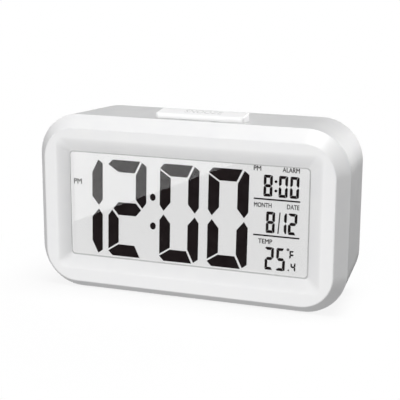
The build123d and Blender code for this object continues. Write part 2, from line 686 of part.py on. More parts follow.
def rear_housing():
    """Rear half of the case: tapered shell with posts, battery bay and the openings of the back panel."""
    body = loft([skin(SEAM_DEPTH), skin(DEPTH)], ruled=True)
    body = fillet(body.faces().sort_by(Axis.Y)[-1].edges(), BACK_EDGE_R)
    body -= loft([skin(SEAM_DEPTH, WALL), skin(BACK_INSIDE, WALL)], ruled=True)
    body -= extrude(skin(SEAM_DEPTH, WALL / 2), amount=-TONGUE - SEAT_GAP)
    body -= tier(snooze_outline(SLIDE_GAP), 0, HEIGHT, SNOOZE_X, SNOOZE_DEPTH)
    for x in SNOOZE_SCREWS:
        roof = top_skin(SNOOZE_SCREW_DEPTH) - WALL / 2
        body += tier(Circle(BOSS_R), SNOOZE_BOARD_TOP, roof, x, SNOOZE_SCREW_DEPTH)
        hole_top = SNOOZE_BOARD_TOP + SCREW_BITE + SEAT_GAP
        body -= tier(Circle(SCREW_R + SCREW_GAP), SNOOZE_BOARD_TOP, hole_top, x, SNOOZE_SCREW_DEPTH)
    for depth in (FRONT_FOOT_DEPTH, REAR_FOOT_DEPTH):
        body -= tier(foot_outline(SEAT_GAP), -HEIGHT / 2, FOOT_T - FOOT_PROUD - HEIGHT / 2, 0, depth)
    for x, z in CASE_SCREWS:
        body += slab(Circle(POST_R), CASE_BOSS_DEPTH, BACK_INSIDE, x, z)
        body -= slab(Circle(POST_BORE), CASE_BOSS_DEPTH + POST_FLOOR, DEPTH, x, z)
        body -= slab(Circle(SCREW_R + SLIDE_GAP), CASE_BOSS_DEPTH, CASE_BOSS_DEPTH + POST_FLOOR, x, z)
    body += battery_bay()
    body -= finger_scoop()
    body -= bay_cuts()
    for x in KEY_X:
        hole = SlotOverall(KEY_W + 2 * SLIDE_GAP, KEY_H + 2 * SLIDE_GAP)
        body -= slab(hole, BACK_INSIDE, DEPTH, x, KEY_ROW_Z)
    knob_slot = Rectangle(KNOB_W + KNOB_TRAVEL + 2 * SLIDE_GAP, KNOB_H + 2 * SLIDE_GAP)
    body -= slab(knob_slot, BACK_INSIDE, DEPTH, KNOB_X - KNOB_TRAVEL / 2, KEY_ROW_Z)
    for x, z in KEY_BOARD_SCREWS:
        body += slab(Circle(BOSS_R), KEY_BOARD_BACK, BACK_INSIDE, x, z)
        hole_end = KEY_BOARD_BACK + SCREW_BITE + SEAT_GAP
        body -= slab(Circle(SCREW_R + SCREW_GAP), KEY_BOARD_BACK, hole_end, x, z)
    ring = Circle(BUZZER_R) - Circle(BUZZER_R - BUZZER_RING)
    body += slab(ring, BACK_INSIDE - BUZZER_STAND, BACK_INSIDE, SIDE_X, SIDE_Z)
    body -= sound_holes()
    body -= vent_slots()
    return body


def rubber_feet():
    """Two long rubber feet set in grooves under the bottom wall."""
    feet = []
    base = -HEIGHT / 2 - FOOT_PROUD
    for depth in (FRONT_FOOT_DEPTH, REAR_FOOT_DEPTH):
        feet += tier(foot_outline(0), base, base + FOOT_T, 0, depth).solids()
    return Compound(children=feet)


def snooze_button():
    """Snooze bar: crowned top, flange that stops it under the top wall, post that pushes the switch."""
    half = SNOOZE_D / 2
    low = SNOOZE_FLANGE_TOP
    rise = top_skin(SNOOZE_DEPTH - half) + SNOOZE_PROUD - low
    back_rise = rise + SNOOZE_BACK_RISE
    crown = ThreePointArc((-half, rise), (0, (rise + back_rise) / 2 + SNOOZE_CROWN), (half, back_rise))
    sides = Polyline((half, back_rise), (half, 0), (-half, 0), (-half, rise))
    profile = side_plane(SNOOZE_X - SNOOZE_W / 2, SNOOZE_DEPTH, low) * make_face(crown + sides)
    bar = extrude(profile, amount=SNOOZE_W)
    bar &= tier(snooze_outline(0), low, HEIGHT, SNOOZE_X, SNOOZE_DEPTH)
    bar = fillet(bar.faces().sort_by(Axis.Z)[-1].edges(), SNOOZE_EDGE_R)
    bar += tier(snooze_outline(SNOOZE_LAP), SNOOZE_FLANGE_BASE, low, SNOOZE_X, SNOOZE_DEPTH)
    post_base = SNOOZE_SWITCH_TOP + PLUNGER_PROUD
    return bar + tier(Circle(SNOOZE_POST_R), post_base, SNOOZE_FLANGE_BASE, SNOOZE_X, SNOOZE_SWITCH_DEPTH)


def snooze_board():
    """Small board that carries the snooze switch, screwed under the top wall's bosses."""
    length = SNOOZE_BOSS_PITCH + 2 * BOSS_R
    depth = SNOOZE_BOARD_FRONT + SNOOZE_BOARD_D / 2
    board = tier(Rectangle(length, SNOOZE_BOARD_D), SNOOZE_BOARD_BASE, SNOOZE_BOARD_TOP, SNOOZE_X, depth)
    for x in SNOOZE_SCREWS:
        board -= tier(Circle(SCREW_R + SLIDE_GAP), SNOOZE_BOARD_BASE, SNOOZE_BOARD_TOP, x, SNOOZE_SCREW_DEPTH)
    return board


def snooze_board_screws():
    """Screws driven up through the snooze board."""
    screws = []
    for x in SNOOZE_SCREWS:
        seat = SNOOZE_BOARD_BASE
        head = tier(Circle(SCREW_HEAD_R), seat - SCREW_HEAD_T, seat, x, SNOOZE_SCREW_DEPTH)
        head = fillet(head.faces().sort_by(Axis.Z)[0].edges(), SCREW_HEAD_T / 2)
        head += tier(Circle(SCREW_R), seat, SNOOZE_BOARD_TOP + SCREW_BITE, x, SNOOZE_SCREW_DEPTH)
        screws += head.solids()
    return Compound(children=screws)


def switch_well(travel):
    """Depth of the hole in a switch case that takes its plunger."""
    return PLUNGER_L - PLUNGER_PROUD + travel + SEAT_GAP


def snooze_switch():
    """Case of the snooze switch."""
    top = SNOOZE_SWITCH_TOP
    case = tier(Rectangle(SWITCH_W, SWITCH_W), SNOOZE_BOARD_TOP, top, SNOOZE_X, SNOOZE_SWITCH_DEPTH)
    well = top - switch_well(SNOOZE_TRAVEL)
    return case - tier(Circle(PLUNGER_R + SEAT_GAP), well, top, SNOOZE_X, SNOOZE_SWITCH_DEPTH)


def snooze_plunger():
    """Plunger of the snooze switch, under the bar's post."""
    top = SNOOZE_SWITCH_TOP + PLUNGER_PROUD
    return tier(Circle(PLUNGER_R), top - PLUNGER_L, top, SNOOZE_X, SNOOZE_SWITCH_DEPTH)


def key_board():
    """Board behind the back panel that carries the key switches and the alarm switch."""
    low = KNOB_X - KNOB_TRAVEL / 2 - SLIDE_CASE_W / 2 - KEY_BOARD_EDGE
    high = KEY_X[0] + SWITCH_W / 2 + KEY_BOARD_EDGE
    middle, length = between(low, high)
    board = slab(Rectangle(length, 2 * SWITCH_W), KEY_BOARD_FRONT, KEY_BOARD_BACK, middle, KEY_ROW_Z)
    for x, z in KEY_BOARD_SCREWS:
        board -= slab(Circle(SCREW_R + SLIDE_GAP), KEY_BOARD_FRONT, KEY_BOARD_BACK, x, z)
    return board


def key_board_screws():
    """Screws driven towards the back through the key board."""
    screws = []
    for x, z in KEY_BOARD_SCREWS:
        head = slab(Circle(SCREW_HEAD_R), KEY_BOARD_FRONT - SCREW_HEAD_T, KEY_BOARD_FRONT, x, z)
        head = fillet(head.faces().sort_by(Axis.Y)[0].edges(), SCREW_HEAD_T / 2)
        head += slab(Circle(SCREW_R), KEY_BOARD_FRONT, KEY_BOARD_BACK + SCREW_BITE, x, z)
        screws += head.solids()
    return Compound(children=screws)


def key_switches():
    """Cases of the four key switches."""
    cases = []
    for x in KEY_X:
        case = slab(Rectangle(SWITCH_W, SWITCH_W), KEY_BOARD_BACK, KEY_SWITCH_TOP, x, KEY_ROW_Z)
        well = KEY_SWITCH_TOP - switch_well(KEY_TRAVEL)
        case -= slab(Circle(PLUNGER_R + SEAT_GAP), well, KEY_SWITCH_TOP, x, KEY_ROW_Z)
        cases += case.solids()
    return Compound(children=cases)


def key_cap(x):
    """Key: oblong cap through the back panel, flange that stops it there, post that pushes the switch."""
    cap = slab(SlotOverall(KEY_W, KEY_H), BACK_INSIDE, DEPTH + KEY_PROUD, x, KEY_ROW_Z)
    cap = fillet(cap.faces().sort_by(Axis.Y)[-1].edges(), KEY_EDGE_R)
    lap = 2 * (SLIDE_GAP + KEY_LAP)
    cap += slab(SlotOverall(KEY_W + lap, KEY_H + lap), KEY_FLANGE_FRONT, BACK_INSIDE, x, KEY_ROW_Z)
    return cap + slab(Circle(KEY_POST_R), KEY_FLANGE_FRONT - KEY_POST_L, KEY_FLANGE_FRONT, x, KEY_ROW_Z)


def key_plunger(x):
    """Plunger of a key switch, under the key's post."""
    top = KEY_SWITCH_TOP + PLUNGER_PROUD
    return slab(Circle(PLUNGER_R), top - PLUNGER_L, top, x, KEY_ROW_Z)


SLIDE_TOP = KEY_BOARD_BACK + SLIDE_CASE_T
LEVER_FRONT = SLIDE_TOP - LEVER_W / 2
KNOB_FRONT = BACK_INSIDE - KNOB_FLANGE


def alarm_switch_case():
    """Case of the alarm slide switch, with the slot its lever slides in."""
    middle = KNOB_X - KNOB_TRAVEL / 2
    case = slab(Rectangle(SLIDE_CASE_W, SLIDE_CASE_H), KEY_BOARD_BACK, SLIDE_TOP, middle, KEY_ROW_Z)
    slot = Rectangle(LEVER_W + KNOB_TRAVEL + 2 * SLIDE_GAP, LEVER_W + 2 * SLIDE_GAP)
    return case - slab(slot, LEVER_FRONT - SEAT_GAP, SLIDE_TOP, middle, KEY_ROW_Z)


def alarm_switch_lever():
    """Lever of the alarm switch, which reaches into the knob."""
    return slab(Rectangle(LEVER_W, LEVER_W), LEVER_FRONT, LEVER_FRONT + LEVER_L, KNOB_X, KEY_ROW_Z)


def alarm_switch_knob():
    """Ridged knob of the alarm switch, with a flange that slides behind the back panel."""
    knob = slab(Rectangle(KNOB_W, KNOB_H), BACK_INSIDE, DEPTH + KEY_PROUD, KNOB_X, KEY_ROW_Z)
    groove = Rectangle(KNOB_GROOVE, KNOB_H)
    for step in (-1, 0, 1):
        x = KNOB_X + step * 2 * KNOB_GROOVE
        knob -= slab(groove, DEPTH + KEY_PROUD / 2, DEPTH + KEY_PROUD, x, KEY_ROW_Z)
    knob += slab(Rectangle(KNOB_W + 2 * KNOB_LAP, 2 * KNOB_H), KNOB_FRONT, BACK_INSIDE, KNOB_X, KEY_ROW_Z)
    socket = Rectangle(LEVER_W + 2 * SEAT_GAP, LEVER_W + 2 * SEAT_GAP)
    return knob - slab(socket, KNOB_FRONT, LEVER_FRONT + LEVER_L + SEAT_GAP, KNOB_X, KEY_ROW_Z)


def thermistor():
    """Temperature sensor: a bead on two leads that hang from the key board beside the vents."""
    x = KNOB_X - KNOB_TRAVEL / 2 - SLIDE_CASE_W / 2
    depth = (KEY_BOARD_FRONT + KEY_BOARD_BACK) / 2
    top = KEY_ROW_Z - SWITCH_W
    bead = Pos(point(x, depth, top - BEAD_DROP)) * Sphere(BEAD_R)
    for side in (-1, 1):
        bead += tier(Circle(BEAD_LEAD_R), top - BEAD_DROP, top, x + side * BEAD_R / 2, depth)
    return bead


BUZZER_BACK = BACK_INSIDE - BUZZER_STAND
BUZZER_FRONT = BUZZER_BACK - BUZZER_T


def buzzer_plate():
    """Brass plate of the buzzer on its ring."""
    return slab(Circle(BUZZER_R), BUZZER_FRONT, BUZZER_BACK, SIDE_X, SIDE_Z)


def buzzer_ceramic():
    """Ceramic disc that bends the brass plate."""
    return slab(Circle(CERAMIC_R), BUZZER_FRONT - BUZZER_T, BUZZER_FRONT, SIDE_X, SIDE_Z)


def positive_end(i):
    """Side of the bay, right or left, that a cell's nub points to: every other cell is turned round."""
    return 1 if i % 2 == 0 else -1


def battery_cell(i):
    """AAA cell: round can with a nub at its positive end."""
    side = positive_end(i)
    tip = side * (BAY_W / 2 - PLATE_T - DIMPLE)
    axis = Plane(origin=point(tip, CELL_DEPTH, CELL_Z[i]), x_dir=(0, 1, 0), z_dir=(-side, 0, 0))
    can = extrude(axis.offset(NUB_L) * Circle(CELL_R), amount=CELL_L - NUB_L)
    can = fillet(can.edges(), NUB_L / 2)
    return can + extrude(axis * Circle(NUB_R), amount=NUB_L)


def contact_plates():
    """Spring-steel contacts on the bay's side walls: two single ones with tails, two that link two cells."""
    plates = []
    for side, cells in ((1, (0,)), (1, (1, 2)), (-1, (0, 1)), (-1, (2,))):
        middle, height = between(CELL_Z[cells[-1]] - PLATE_W / 2, CELL_Z[cells[0]] + PLATE_W / 2)
        wall = side * BAY_W / 2
        inward = Plane(origin=point(wall, CELL_DEPTH, middle), x_dir=(0, 1, 0), z_dir=(-side, 0, 0))
        plate = extrude(inward * Rectangle(PLATE_W, height), amount=PLATE_T)
        for i in cells:
            if positive_end(i) == side:
                face = Plane(origin=point(wall - side * PLATE_T, CELL_DEPTH, CELL_Z[i]), z_dir=(-side, 0, 0))
                plate += extrude(face * Circle(DIMPLE_R), amount=DIMPLE, taper=DIMPLE_SLOPE)
        if len(cells) == 1:
            tail = Rectangle(PLATE_T, TAIL_W)
            front = BAY_FLOOR - BAY_WALL - TAIL_L
            plate += slab(tail, front, CELL_DEPTH, wall - side * PLATE_T / 2, middle)
        plates += plate.solids()
    return Compound(children=plates)


def biarc(start, start_way, end, end_way):
    """Two arcs that leave start along start_way, meet in a common direction and reach end along end_way."""
    chord = end - start
    ways = start_way + end_way
    a = 2 * (1 - start_way.dot(end_way))
    b = 2 * chord.dot(ways)
    c = -chord.dot(chord)
    reach = (-b + sqrt(b * b - 4 * a * c)) / (2 * a)
    join = (start + start_way * reach + end - end_way * reach) * 0.5
    first = TangentArc(start, join, tangent=start_way)
    second = TangentArc(join, end, tangent=first % 1)
    return [first, second]


def spring_point(base, side, depth, z, turn):
    """Point on a spring's centre line after some turns, on a cone that narrows towards the cell."""
    share = turn / SPRING_TURNS
    radius = SPRING_BASE_R + (SPRING_TIP_R - SPRING_BASE_R) * share
    climb = SPRING_WIRE_R + SPRING_CLEAR + (SPRING_L - 2 * SPRING_WIRE_R - 2 * SPRING_CLEAR) * share
    angle = 2 * pi * turn
    return point(base - side * climb, depth + radius * cos(angle), z + radius * sin(angle))


def spring_way(place, turn):
    """Direction of a spring's centre line after some turns, from two points close to each other."""
    step = 1e-4
    return (spring_point(*place, turn + step) - spring_point(*place, turn - step)).normalized()


def contact_springs():
    """Conical wire springs at the cells' negative ends, swept along arcs of an eighth of a turn."""
    springs = []
    for i in range(CELL_COUNT):
        side = -positive_end(i)
        place = (side * (BAY_W / 2 - PLATE_T), side, CELL_DEPTH, CELL_Z[i])
        arcs = []
        for quarter in range(4 * SPRING_TURNS):
            ends = [quarter / 4, (quarter + 1) / 4]
            points = [spring_point(*place, turn) for turn in ends]
            ways = [spring_way(place, turn) for turn in ends]
            arcs += biarc(points[0], ways[0], points[1], ways[1])
        wire = Wire(arcs)
        section = Plane(origin=wire @ 0, z_dir=wire % 0) * Circle(SPRING_WIRE_R)
        springs += sweep(section, path=wire).solids()
    turns = [t / 48 for t in range(48 * SPRING_TURNS + 1)]
    line = [spring_point(0, 1, 0, 0, t) for t in turns]
    gaps = [(p - q).length for k, p in enumerate(line) for q in line[k + 24:]]
    print(f"contact springs: least gap between turns {min(gaps) - 2 * SPRING_WIRE_R:.2f} mm")
    return Compound(children=springs)


def lead(points):
    """Round lead through points, with an arc at each corner as large as its two runs allow."""
    radii = []
    for before, corner, after in zip(points, points[1:], points[2:]):
        turn = (corner - before).get_angle(after - corner)
        shorter = min((corner - before).length, (after - corner).length)
        radii.append(CORNER_SHARE * shorter / tan(radians(turn / 2)))
    path = FilletPolyline(*points, radius=radii)
    section = Plane(origin=path @ 0, z_dir=path % 0) * Circle(LEAD_R)
    return sweep(section, path=path)


def battery_leads():
    """Leads from the two contact tails to the main board."""
    tail_end = BAY_FLOOR - BAY_WALL - TAIL_L
    run = (tail_end - BOARD_BACK) / 3
    leads = []
    for side, z in ((1, CELL_Z[0]), (-1, CELL_Z[-1])):
        x = side * (BAY_W - PLATE_T) / 2
        drop = side * run / 2
        stops = [point(x, tail_end, z), point(x, tail_end - run, z)]
        stops += [point(x, BOARD_BACK + run, z - drop), point(x, BOARD_BACK, z - drop)]
        leads += lead(stops).solids()
    return Compound(children=leads)


def buzzer_leads():
    """Leads from the buzzer's two discs to the main board."""
    leads = []
    for front, x in ((BUZZER_FRONT - BUZZER_T, SIDE_X), (BUZZER_FRONT, SIDE_X + (BUZZER_R + CERAMIC_R) / 2)):
        run = (front - BOARD_BACK) / 3
        inner = x - BUZZER_R / 2
        stops = [point(x, front, SIDE_Z), point(x, front - run, SIDE_Z)]
        stops += [point(inner, BOARD_BACK + run, SIDE_Z), point(inner, BOARD_BACK, SIDE_Z)]
        leads += lead(stops).solids()
    return Compound(children=leads)


def ribbon(x, stops, corner):
    """Flat ribbon of leads along a route given by depths and heights."""
    path = FilletPolyline(*[point(x, depth, z) for depth, z in stops], radius=corner)
    section = Plane(origin=path @ 0, x_dir=(1, 0, 0), z_dir=path % 0) * Rectangle(RIBBON_W, RIBBON_T)
    return sweep(section, path=path)


def key_ribbon():
    """Ribbon from the key board to the main board."""
    high = KEY_ROW_Z - SWITCH_W / 2
    low = high - SWITCH_W
    span = KEY_BOARD_FRONT - BOARD_BACK
    stops = [(KEY_BOARD_FRONT, high), (KEY_BOARD_FRONT - span / 3, high)]
    stops += [(BOARD_BACK + span / 3, low), (BOARD_BACK, low)]
    return ribbon(KEY_PITCH / 2, stops, SWITCH_W)


def snooze_ribbon():
    """Ribbon from the snooze board down to the main board."""
    depth = SNOOZE_SCREW_DEPTH + BOSS_R - 2 * RIBBON_T
    low = SNOOZE_BOARD_BASE - SWITCH_W
    stops = [(depth, SNOOZE_BOARD_BASE), (depth, low), (BOARD_BACK, low)]
    return ribbon(SNOOZE_X - SWITCH_W - RIBBON_W / 2, stops, (depth - BOARD_BACK) / 2)


def battery_door():
    """Battery door: plate with finger ridges, hooks at its lower edge, latch tongue at its upper edge."""
    door = slab(RectangleRounded(DOOR_W, DOOR_H, DOOR_R), DOOR_FRONT, DEPTH, 0, BAY_Z)
    top = BAY_Z + DOOR_H / 2
    for i in range(GRIP_COUNT):
        z = top - (i + 2) * GRIP_PITCH
        door += slab(SlotOverall(GRIP_W, GRIP_PITCH / 2), DEPTH, DEPTH + GRIP_T, 0, z)
    for x in (-HOOK_PITCH / 2, HOOK_PITCH / 2):
        hook_front = DOOR_FRONT - HOOK_REACH
        door += slab(Rectangle(HOOK_W, HOOK_T), hook_front, DOOR_FRONT, x, DOOR_BASE + HOOK_T / 2)
        toe = Rectangle(HOOK_W, HOOK_TOE)
        door += slab(toe, hook_front, BACK_INSIDE - SLIDE_GAP, x, DOOR_BASE - HOOK_TOE / 2)
    latch_z = BAY_Z + BAY_H / 2 - LATCH_GAP - LATCH_T / 2
    return door + slab(Rectangle(LATCH_W, LATCH_T), DOOR_FRONT - LATCH_L, DOOR_FRONT, 0, latch_z)


NODES = {
    "front_bezel": front_bezel(),
    "display_window": display_window(),
    "lcd_front_glass": lcd_front_glass(),
    "lcd_segments": lcd_segments(),
    "lcd_rear_glass": lcd_rear_glass(),
    "light_guide": light_guide(),
    "reflector_sheet": reflector_sheet(),
    "backlight_board": backlight_board(),
    "backlight_leds": backlight_leds(),
    "lcd_frame": lcd_frame(),
    "zebra_strip": zebra_strip(),
    "main_board": main_board(),
    "clock_chip": clock_chip(),
    "quartz_crystal": quartz_crystal(),
    "capacitors": capacitors(),
    "board_screws": board_screws(),
    "rear_housing": rear_housing(),
    "case_screws": case_screws(),
    "rubber_feet": rubber_feet(),
    "snooze_button": snooze_button(),
    "snooze_plunger": snooze_plunger(),
    "snooze_switch": snooze_switch(),
    "snooze_board": snooze_board(),
    "snooze_board_screws": snooze_board_screws(),
    "snooze_ribbon": snooze_ribbon(),
    "key_board": key_board(),
    "key_board_screws": key_board_screws(),
    "key_switches": key_switches(),
    "key_ribbon": key_ribbon(),
    "alarm_switch_case": alarm_switch_case(),
    "alarm_switch_lever": alarm_switch_lever(),
    "alarm_switch_knob": alarm_switch_knob(),
    "thermistor": thermistor(),
    "buzzer_plate": buzzer_plate(),
    "buzzer_ceramic": buzzer_ceramic(),
    "buzzer_leads": buzzer_leads(),
    "contact_plates": contact_plates(),
    "contact_springs": contact_springs(),
    "battery_leads": battery_leads(),
    "battery_door": battery_door(),
}
for name, key_x in zip(KEY_NAMES, KEY_X):
    NODES[f"{name}_key"] = key_cap(key_x)
    NODES[f"{name}_plunger"] = key_plunger(key_x)
for index in range(CELL_COUNT):
    NODES[f"battery_cell_{index + 1}"] = battery_cell(index)

os.makedirs("parts", exist_ok=True)
for node, solid in NODES.items():
    export_step(solid, f"parts/{node}.step")
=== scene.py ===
import math

import bmesh
import bpy
import numpy as np
from mathutils import Matrix, Vector


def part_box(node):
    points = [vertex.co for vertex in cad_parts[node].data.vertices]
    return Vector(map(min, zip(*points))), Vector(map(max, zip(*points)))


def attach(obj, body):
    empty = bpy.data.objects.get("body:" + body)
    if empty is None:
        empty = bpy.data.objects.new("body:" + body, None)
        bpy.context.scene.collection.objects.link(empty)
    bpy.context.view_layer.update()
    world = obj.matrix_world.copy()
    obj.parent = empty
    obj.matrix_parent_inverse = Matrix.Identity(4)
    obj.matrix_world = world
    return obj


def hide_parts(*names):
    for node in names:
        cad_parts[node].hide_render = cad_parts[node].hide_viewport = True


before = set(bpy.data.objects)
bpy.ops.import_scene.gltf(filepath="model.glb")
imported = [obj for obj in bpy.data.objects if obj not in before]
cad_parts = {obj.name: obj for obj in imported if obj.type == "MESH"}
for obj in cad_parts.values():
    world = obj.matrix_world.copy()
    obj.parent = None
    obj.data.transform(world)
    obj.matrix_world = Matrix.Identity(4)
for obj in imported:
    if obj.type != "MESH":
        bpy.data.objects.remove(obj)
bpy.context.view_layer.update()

# Front bezel: the white frame round the display, with a sloping outer band, a flat ring and a rolled slope
# down to the window. Injection-moulded glossy ABS, closed on the housing by a tongue and four screws.
MM = 0.001


def extent(name):
    """Lowest and highest corner of a node in millimetres, to a thousandth."""
    return np.round(np.array(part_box(name)) / MM, 3)


bezel_low, bezel_high = extent("front_bezel")
FRONT = bezel_low[1]
MIDDLE = (bezel_low[2] + bezel_high[2]) / 2
CASE_W, CASE_H, CASE_R = bezel_high[0] - bezel_low[0], bezel_high[2] - bezel_low[2], 18.0
SEAM, BAND_INSET, FACE_DROP, FACE_FILLET = 6.1, 4.5, 0.6, 0.8
WINDOW_W, WINDOW_H, WINDOW_R = 104.4, 45.5, 1.7
ROLL_WIDTH, ROLL_R, END_FADE = 5.5, 1.3, 6.0
LONG_ROLL = math.radians(8.0), math.radians(36.0)
END_ROLL = math.radians(14.0), math.radians(36.0)
RIM_DEPTH, RIM_EDGE, BEZEL_WALL = 2.5, 0.1, 2.2

# Insets and steps in depth of the section's rings, which stand closest where it turns.
SEAM_INSETS, SEAM_STEPS = np.array([0.07, 0.02, 0.0]), np.array([0.0, 0.02, 0.08])
BAND_INSETS, BAND_HOLD, FACE_HOLD = np.array([0.35, 0.7, 2.0, 3.4]), 0.15, 0.3
ROLL_HOLDS, RIM_HOLDS = np.array([0.6, 0.15]), np.array([0.1, 0.02, 0.0, 0.0])
FILLET_POINTS, ROLL_STEPS, CASE_CORNER_STEPS = 9, 13, 24

# Points closer than the weld are one point, and an edge shorter than the sliver is none, both in metres.
WELD, SLIVER = 1e-6, 1e-7

# Noise lies mostly between these two heights. Moulded plastic varies in broad and faint lumps.
LUMP_LOW, LUMP_HIGH = 0.3, 0.7
LUMP_DETAIL, SKIN_DETAIL = 3.0, 2.0
MOTTLE_SIZE, GLOSS_SPREAD, SKIN_RELIEF, ABS_IOR = 9.0, 0.04, 0.05, 1.53


def linear(code):
    """Linear RGBA of an sRGB hex code: c / 12.92 when dark, else ((c + 0.055) / 1.055) ** 2.4."""
    channels = [int(code[i:i + 2], 16) / 255 for i in (1, 3, 5)]
    return [c / 12.92 if c <= 0.04045 else ((c + 0.055) / 1.055) ** 2.4 for c in channels] + [1.0]


def node(tree, kind, inputs=None, stops=(), **settings):
    """Adds a shader node: sets its properties, sets or links its named or numbered inputs, and gives a
    colour ramp its stops, each a position and an sRGB hex code."""
    added = tree.nodes.new("ShaderNode" + kind)
    for key, value in settings.items():
        setattr(added, key, value)
    for key, value in (inputs or {}).items():
        if isinstance(value, bpy.types.NodeSocket):
            tree.links.new(value, added.inputs[key])
        else:
            added.inputs[key].default_value = value
    for number, (position, code) in enumerate(stops):
        ramp = added.color_ramp.elements
        stop = ramp[number] if number < len(ramp) else ramp.new(position)
        stop.position = position
        stop.color = linear(code)
    return added


def material(name):
    """A new material, its tree with an output, and the place in the piece that its patterns use."""
    made = bpy.data.materials.new(name)
    made.use_nodes = True
    tree = made.node_tree
    tree.nodes.clear()
    node(tree, "OutputMaterial")
    return made, tree, node(tree, "TexCoord").outputs["Object"]


def shade(tree, kind, inputs):
    """Adds a shader node and links it to the material's surface."""
    shader = node(tree, kind, inputs)
    tree.links.new(shader.outputs[0], tree.nodes["Material Output"].inputs["Surface"])


def moulded(name, dark, light, rough, lump, edge):
    """Moulded plastic: faintly mottled colour and gloss, a skin of fine lumps and softened edges, in mm."""
    made, tree, place = material(name)
    mottle = node(tree, "TexNoise", {"Vector": place, "Scale": 1 / (MOTTLE_SIZE * MM),
                                     "Detail": LUMP_DETAIL})
    colour = node(tree, "ValToRGB", {"Fac": mottle.outputs["Fac"]}, ((LUMP_LOW, dark), (LUMP_HIGH, light)))
    gloss = node(tree, "MapRange", {"Value": mottle.outputs["Fac"], "To Min": rough - GLOSS_SPREAD,
                                    "To Max": rough + GLOSS_SPREAD})
    fine = node(tree, "TexNoise", {"Vector": place, "Scale": 1 / (lump * MM), "Detail": SKIN_DETAIL})
    soft = node(tree, "Bevel", {"Radius": edge * MM}, samples=6)
    skin = node(tree, "Bump", {"Strength": 0.06, "Distance": SKIN_RELIEF * MM,
                               "Height": fine.outputs["Fac"], "Normal": soft.outputs["Normal"]})
    shade(tree, "BsdfPrincipled", {"Base Color": colour.outputs["Color"], "IOR": ABS_IOR,
                                   "Roughness": gloss.outputs["Result"], "Normal": skin.outputs["Normal"]})
    return made


def dress(made, look):
    """Gives an object one material and no other."""
    made.data.materials.clear()
    made.data.materials.append(look)


def piece(name, mesh, sharp=32):
    """An object of a mesh: doubled points merged, normals outward, smooth but for edges over the angle."""
    shape = bmesh.new()
    shape.from_mesh(mesh)
    bmesh.ops.remove_doubles(shape, verts=shape.verts, dist=WELD)
    bmesh.ops.dissolve_degenerate(shape, edges=shape.edges, dist=SLIVER)
    bmesh.ops.recalc_face_normals(shape, faces=shape.faces)
    for edge in shape.edges:
        edge.smooth = edge.calc_face_angle(math.pi) < math.radians(sharp)
    for face in shape.faces:
        face.smooth = True
    shape.to_mesh(mesh)
    shape.free()
    made = bpy.data.objects.new(name, mesh)
    bpy.context.scene.collection.objects.link(made)
    even = made.modifiers.new("even normals", "WEIGHTED_NORMAL")
    even.keep_sharp = True
    even.weight = 100
    return made


def surface(name, rings, loop=False):
    """Skin over a stack of closed rings (ring, point, xyz) in millimetres. Each quad joins a point and the
    next one on its ring to the same two points of the following ring; points that meet on a closing line
    are merged."""
    count, size = rings.shape[:2]
    ring = np.arange(count if loop else count - 1)[:, None]
    at = np.arange(size)[None, :]
    after = (at + 1) % size
    upper = (ring + 1) % count
    quads = np.stack([ring * size + at, ring * size + after, upper * size + after, upper * size + at],
                     axis=-1)
    mesh = bpy.data.meshes.new(name)
    mesh.from_pydata((rings.reshape(-1, 3) * MM).tolist(), [], quads.reshape(-1, 4).tolist())
    return piece(name, mesh)


def outlines(width, height, radius, steps=14):
    """Rounded rectangles, one per entry of the arrays: corner centre (±(w/2 - r), ±(h/2 - r)) plus r times
    (cos t, sin t), t going through a quarter turn at each corner, anticlockwise. Shape (ring, point, 2)."""
    turn = np.linspace(0, math.pi / 2, steps + 1)[None, :] + (math.pi / 2) * np.arange(4)[:, None]
    sign = np.array([[1, 1], [-1, 1], [-1, -1], [1, -1]])
    half = np.stack([width / 2 - radius, height / 2 - radius], axis=-1)
    centre = half[:, None, None, :] * sign[None, :, None, :]
    ring = np.stack([np.cos(turn), np.sin(turn)], axis=-1)[None] * radius[:, None, None, None]
    return (centre + ring).reshape(len(width), -1, 2)


def fillet(slope):
    """Inset and depth of the points of the fillet between the sloping band and the face: a quarter circle's
    part about (band inset + r tan(slope / 2), r), from the band's normal to the face's."""
    turn = np.linspace(-math.pi / 2 - slope, -math.pi / 2, FILLET_POINTS)
    centre = BAND_INSET + FACE_FILLET * math.tan(slope / 2)
    return centre + FACE_FILLET * np.cos(turn), FACE_FILLET + FACE_FILLET * np.sin(turn)


def roll_depth(slopes, run):
    """Depth of the roll after a run in from the face: an arc of radius R = roll width / (sin b - sin a)
    between the slopes a and b, whose depth is R (cos a - cos t) where R (sin t - sin a) is the run. The
    last two points are the rim's edge and its back."""
    first, last = slopes
    radius = ROLL_WIDTH / (math.sin(last) - math.sin(first))
    turn = np.arcsin(math.sin(first) + run.clip(0) / radius)
    depth = radius * (math.cos(first) - np.cos(turn))
    depth[-2:] = depth[-2] + RIM_EDGE, RIM_DEPTH
    return depth.clip(0, RIM_DEPTH)


